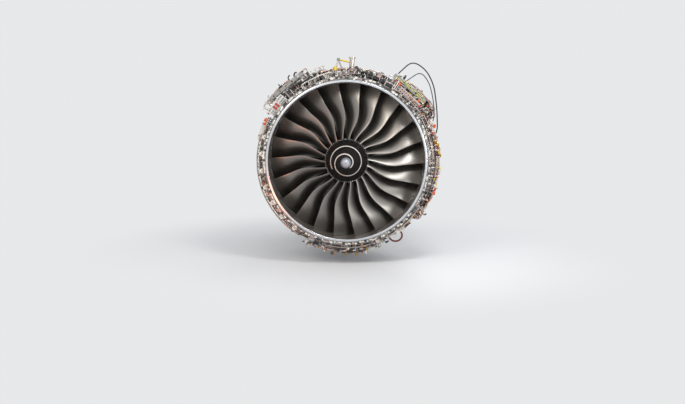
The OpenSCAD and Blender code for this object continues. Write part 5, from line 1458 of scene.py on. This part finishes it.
@dataclass
class Fasteners:
    """Nuts and bolts on the flanges of the fan case, and the dressing of its inlet flange."""

    bench: Bench
    rows: tuple[tuple[str, int, float, float, float, int], ...] = (
        ("inlet_flange_nuts", 60, 1.573, 0.0222, 0.012, 1),
        ("joint_flange_bolts", 80, 1.571, 1.0618, 0.009, -1),
        ("rear_joint_nuts", 80, 1.571, 1.0985, 0.009, 1),
    )
    clip_count: int = 210

    def dress_flange(self) -> None:
        """Lays the bright seal ring, the darker outer band and the clips on the inlet flange."""
        ring = self.bench.turned([(1.498, -0.0035), (1.5, -0.005), (1.534, -0.005), (1.537, -0.0035),
                                  (1.537, -0.0002), (1.498, -0.0002)], 144)
        self.bench.fasten(ring, "inlet_seal_ring", "seal_bright")
        band = self.bench.turned([(1.538, -0.0002), (1.538, -0.0016), (1.601, -0.0016), (1.6045, 0.001),
                                  (1.6045, 0.0195), (1.6034, 0.0195), (1.6034, -0.0002)], 144)
        self.bench.fasten(band, "inlet_flange_band", "flange_grey")
        draw = random.Random(61)
        clips: dict[str, list[Matrix]] = {}
        finishes = ("bracket_cream", "sleeve_white", "box_dark", "pipe_steel", "pipe_pink", "pipe_dark",
                    "bracket_cream")
        for k in range(self.clip_count):
            clock = 360 / self.clip_count * k + draw.uniform(-0.5, 0.5)
            place = clock_frame(clock, draw.uniform(1.56, 1.59), -0.0012) @ FACE_FORWARD
            stretch = Matrix.Diagonal((draw.uniform(0.5, 1.3), draw.uniform(0.4, 1.0), draw.uniform(0.5, 1.4), 1))
            clips.setdefault(draw.choice(finishes), []).append(place @ stretch)
        for finish, places in clips.items():
            clip = self.bench.block((0.05, 0.042, 0.014), 0.003, 1)
            self.bench.copies(f"flange_clips_{finish}", clip, places, finish)

    def build(self) -> None:
        """Dresses the flange and sets a ring of hexagon nuts for each row."""
        self.dress_flange()
        for name, count, radius, station, size, way in self.rows:
            nut = self.bench.rod(size * 1.5, [(0.002, size), (size * 0.9, size * 0.55), (size * 0.35, size * 0.5)], 6)
            self.bench.nut_ring(name, nut, count, radius, station, way)


# ---------------------------------------------------------------- services on the core


@dataclass
class CoreServices:
    """Cooling hoops, air ducts, looms and bolt rows behind the fan case."""

    bench: Bench
    hoop_start: float = 4.03
    hoop_gap: float = 0.083
    hoop_count: int = 8
    hoop_lift: float = 0.042
    feed_lift: float = 0.075
    feed_clocks: tuple[float, ...] = (52, 128, 232, 308)
    skin: tuple[tuple[float, float], ...] = (
        (2.3, 0.504), (2.4, 0.481), (2.56, 0.468), (2.64, 0.461), (2.72, 0.43), (2.79, 0.424), (2.816, 0.626),
        (2.85, 0.61), (3.37, 0.612), (3.385, 0.63), (3.42, 0.63), (3.44, 0.55), (3.62, 0.63), (3.76, 0.61),
        (3.9, 0.708), (4.06, 0.69), (4.12, 0.728), (4.24, 0.757), (4.38, 0.77), (4.52, 0.8), (4.65, 0.8),
        (4.66, 0.865), (4.7, 0.865), (4.76, 0.81), (4.98, 0.8))
    bolt_rows: tuple[tuple[str, int, float, float, int], ...] = (
        ("combustor_front_bolts", 72, 0.616, 2.8155, -1), ("combustor_rear_bolts", 72, 0.619, 3.3835, -1),
        ("turbine_front_nuts", 72, 0.619, 3.4165, 1), ("turbine_rear_bolts", 90, 0.85, 4.6655, -1),
        ("tail_housing_nuts", 90, 0.85, 4.6985, 1))

    def surface(self, station: float) -> float:
        """Gives the core's outer radius at a station.

        Args:
            station: The distance behind the inlet flange in metres.

        Returns:
            The radius in metres.
        """
        for (a, ra), (b, rb) in zip(self.skin, self.skin[1:]):
            if station <= b:
                return ra + (rb - ra) * max(0.0, station - a) / (b - a)
        return self.skin[-1][1]

    def hoops(self) -> None:
        """Builds the cooling hoops round the turbine and the ducts that feed them."""
        rings, saddles = [], []
        stations = [self.hoop_start + self.hoop_gap * k for k in range(self.hoop_count)]
        for y in stations:
            r = self.surface(y) + self.hoop_lift
            rings.append([on_clock(c, r, y) for c in range(0, 361, 5)])
            for c in range(15, 360, 45):
                saddles.append(clock_frame(c, self.surface(y) - 0.012, y) @ Matrix.Diagonal((1, 1, 0.05, 1)))
        self.bench.tubes("turbine_cooling_hoops", rings, 0.0115, "pipe_steel")
        saddle = self.bench.block((0.03, 0.008, 1.0), 0.001, 1)
        self.bench.copies("cooling_hoop_saddles", saddle, saddles, "bolt_steel")
        feeds = []
        for clock in self.feed_clocks:
            feeds.append([on_clock(clock, self.surface(y) + self.feed_lift, y)
                          for y in [3.2, 3.5, 3.8, 3.96, *stations, stations[-1] + 0.03]])
            feeds[-1].insert(0, on_clock(clock, self.surface(3.1) - 0.005, 3.1))
        self.bench.tubes("turbine_cooling_feeds", feeds, 0.03, "pipe_steel")

    def routes(self, clocks: tuple[float, ...], stations: tuple[float, ...], lift: float) -> list[list[Vector]]:
        """Runs lines along the core at some clock angles, with both ends on its skin.

        Args:
            clocks: The clock angles.
            stations: The stations that each line passes.
            lift: The lines' height over the skin.

        Returns:
            One line per clock angle.
        """
        lines = []
        for clock in clocks:
            high = [(clock + 2.5 * math.sin(3 * y + clock), self.surface(y) + lift, y) for y in stations]
            ends = [(high[0][0], self.surface(stations[0]) - 0.004, stations[0]),
                    (high[-1][0], self.surface(stations[-1]) - 0.004, stations[-1])]
            lines.append(wrapped([ends[0], *high, ends[1]], 0.07))
        return lines

    def lines(self) -> None:
        """Builds the lines and looms that run along and round the core."""
        tubes = self.bench.tubes
        tubes("core_oil_lines", self.routes((35, 40, 200, 205, 320), (2.42, 2.6, 2.9, 3.2, 3.36), 0.045),
              0.009, "pipe_steel")
        tubes("core_air_lines", self.routes((70, 110, 250, 290), (2.36, 2.55, 2.78, 2.9, 3.3), 0.07),
              0.024, "pipe_pink")
        tubes("core_sense_lines", self.routes((85, 90, 95, 160, 165, 270), (2.4, 2.7, 3.0, 3.3, 3.5, 3.7), 0.03),
              0.0055, "pipe_steel")
        tubes("turbine_oil_lines", self.routes((150, 156, 204, 210), (3.44, 3.7, 4.0, 4.4, 4.6, 4.74), 0.1),
              0.011, "pipe_dark")
        rings = [[on_clock(c, self.surface(y) + lift, y) for c in range(0, 361, 4)]
                 for y, lift in ((2.48, 0.03), (2.505, 0.03), (2.76, 0.05), (3.28, 0.035), (3.31, 0.035))]
        tubes("core_ring_lines", rings, 0.008, "pipe_steel")
        looms = [[on_clock(c, self.surface(y) + 0.05, y) for c in range(0, 361, 4)] for y in (2.62, 3.56, 4.72)]
        tubes("core_ring_looms", looms, 0.013, "harness_braid")

    def probes(self) -> None:
        """Stands probes and bosses on the cases, and sets the flange bolts."""
        places = []
        for count, y in ((14, 3.58), (10, 3.02), (8, 2.5), (12, 4.735), (9, 3.78)):
            places += [clock_frame(360 / count * k + 7, self.surface(y) - 0.004, y) for k in range(count)]
        probe = self.bench.rod(0.02, [(0.012, 0.011), (0.03, 0.014), (0.014, 0.008), (0.016, 0.006)], 12)
        self.bench.copies("core_probes", probe, places, "bolt_steel")
        for name, count, radius, station, way in self.bolt_rows:
            bolt = self.bench.rod(0.0095, [(0.002, 0.0068), (0.007, 0.004), (0.004, 0.004)], 6)
            self.bench.nut_ring(name, bolt, count, radius, station, way)

    def build(self) -> None:
        """Builds hoops, lines, probes and bolts."""
        self.hoops()
        self.lines()
        self.probes()


# ---------------------------------------------------------------- studio


@dataclass
class Studio:
    """The pale floor, the soft lamps and the camera."""

    floor_height: float = -1.99
    distance: float = 15.08
    azimuth: float = 1.5
    elevation: float = 4.2
    lens: float = 41.67
    centre: tuple[float, float] = (346.3, 161.8)
    focal: float = 793.0
    photo_middle: tuple[float, float] = (342.5, 202.0)
    backdrop: tuple[float, float, float, float] = (0.80, 0.81, 0.82, 1.0)
    floor_colour: tuple[float, float, float, float] = (0.84, 0.85, 0.86, 1.0)
    fade: tuple[float, float] = (2.6, 6.2)
    sky_colour: tuple[float, float, float, float] = (0.86, 0.88, 0.92, 1.0)
    sky_level: float = 0.62

    def camera(self) -> None:
        """Stands the camera where the photograph was taken."""
        a, e = math.radians(self.azimuth), math.radians(self.elevation)
        back = Vector((math.sin(a) * math.cos(e), -math.cos(a) * math.cos(e), math.sin(e)))
        data = bpy.data.cameras.new("camera")
        data.lens, data.sensor_width = self.lens, 36.0
        camera = bpy.data.objects.new("camera", data)
        bpy.context.scene.collection.objects.link(camera)
        camera.location = back * self.distance
        left = math.atan((self.centre[0] - self.photo_middle[0]) / self.focal)
        down = math.atan((self.photo_middle[1] - self.centre[1]) / self.focal)
        camera.rotation_euler = (math.radians(90) - e - down, 0, a + left)
        bpy.context.scene.camera = camera

    def lamp(self, name: str, place: tuple[float, float, float], size: float, power: float, colour: str,
             spread: float = 180.0) -> None:
        """Adds a soft lamp that looks at the engine.

        Args:
            name: What the lamp is called.
            place: Where it stands.
            size: The length of its sides in metres.
            power: Its power in watts.
            colour: Its light's colour.
            spread: The angle of its beam in degrees.
        """
        data = bpy.data.lights.new(name, "AREA")
        data.size, data.energy, data.color = size, power, Finish.linear(colour)[:3]
        data.spread = math.radians(spread)
        lamp = bpy.data.objects.new(name, data)
        lamp.visible_camera = False
        lamp.location = place
        lamp.rotation_euler = (Vector((0, 1.2, 0)) - Vector(place)).to_track_quat("-Z", "Y").to_euler()
        bpy.context.scene.collection.objects.link(lamp)

    @staticmethod
    def seen_directly(tree: bpy.types.ShaderNodeTree) -> bpy.types.NodeSocket:
        """Tells the rays that show a background: those from the camera, off gloss and through glass.

        Args:
            tree: The node tree of the floor or of the world.

        Returns:
            A socket that is 1 for those rays and 0 for light.
        """
        path = add_node(tree, "LightPath").outputs
        either = add_node(tree, "Math", {0: path["Is Camera Ray"], 1: path["Is Glossy Ray"]}, operation="MAXIMUM")
        through = add_node(tree, "Math", {0: either.outputs[0], 1: path["Is Transmission Ray"]}, operation="MAXIMUM")
        return through.outputs[0]

    def floor(self) -> None:
        """Makes the pale floor, which keeps the engine's shadow and fades into the background."""
        Bench.clear()
        bpy.ops.mesh.primitive_circle_add(vertices=64, radius=90, location=(0, 2, self.floor_height),
                                          fill_type="NGON")
        disc = bpy.context.object
        disc.name = "studio_floor"
        material = bpy.data.materials.new("studio_floor")
        material.use_nodes = True
        tree = material.node_tree
        shader = tree.nodes["Principled BSDF"]
        feed(tree, shader, {"Base Color": self.floor_colour, "Roughness": 0.6})
        place = add_node(tree, "TexCoord")
        reach = add_node(tree, "VectorMath", {0: place.outputs["Object"]}, operation="LENGTH")
        fade = add_node(tree, "MapRange", {"Value": reach.outputs["Value"], "From Min": self.fade[0],
                                           "From Max": self.fade[1]}, interpolation_type="SMOOTHSTEP")
        glow = add_node(tree, "Emission", {"Color": self.backdrop})
        weigh = add_node(tree, "Math", {0: fade.outputs[0], 1: self.seen_directly(tree)}, operation="MULTIPLY")
        mix = add_node(tree, "MixShader", {0: weigh.outputs[0], 1: shader.outputs[0], 2: glow.outputs[0]})
        feed(tree, tree.nodes["Material Output"], {"Surface": mix.outputs[0]})
        disc.data.materials.append(material)

    def sky(self) -> None:
        """Lights the object evenly from a pale world that the camera sees as nearly white."""
        world = bpy.data.worlds.new("studio")
        bpy.context.scene.world = world
        world.use_nodes = True
        tree = world.node_tree
        sky = tree.nodes["Background"]
        feed(tree, sky, {"Color": self.sky_colour, "Strength": self.sky_level})
        seen = add_node(tree, "Background", {"Color": self.backdrop})
        mix = add_node(tree, "MixShader", {0: self.seen_directly(tree), 1: sky.outputs[0], 2: seen.outputs[0]})
        feed(tree, tree.nodes["World Output"], {"Surface": mix.outputs[0]})

    def build(self) -> None:
        """Sets up camera, floor, world and lamps."""
        self.camera()
        self.floor()
        self.sky()
        self.lamp("lamp_key", (-5.5, -9.0, 6.5), 5.0, 420, "#fff5ea")
        self.lamp("lamp_right", (7.5, -7.5, 1.2), 3.0, 260, "#ffffff")
        self.lamp("lamp_over", (1.9, -3.8, 5.6), 1.8, 190, "#ffffff")
        self.lamp("lamp_warm", (-2.2, -2.4, -1.2), 0.9, 2.2, "#ff8c4a", 55)
        self.lamp("lamp_back", (4.0, 13.0, 8.0), 6.0, 500, "#ffffff")
        bpy.context.scene.view_settings.view_transform = "Standard"


def main() -> None:
    """Builds the scene in order and reports each piece."""
    logging.basicConfig(level=logging.INFO, format="%(name)s %(message)s")
    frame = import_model()
    Studio().build()
    paint = PaintShop()
    paint.coat_nodes(frame["nodes"])
    FanRotor(Bench(paint, Body.FAN)).build()
    for assembly in (CaseServices, SideEquipment, Fasteners, CoreServices):
        assembly(Bench(paint, Body.ENGINE)).build()


if __name__ == "__main__":
    main()
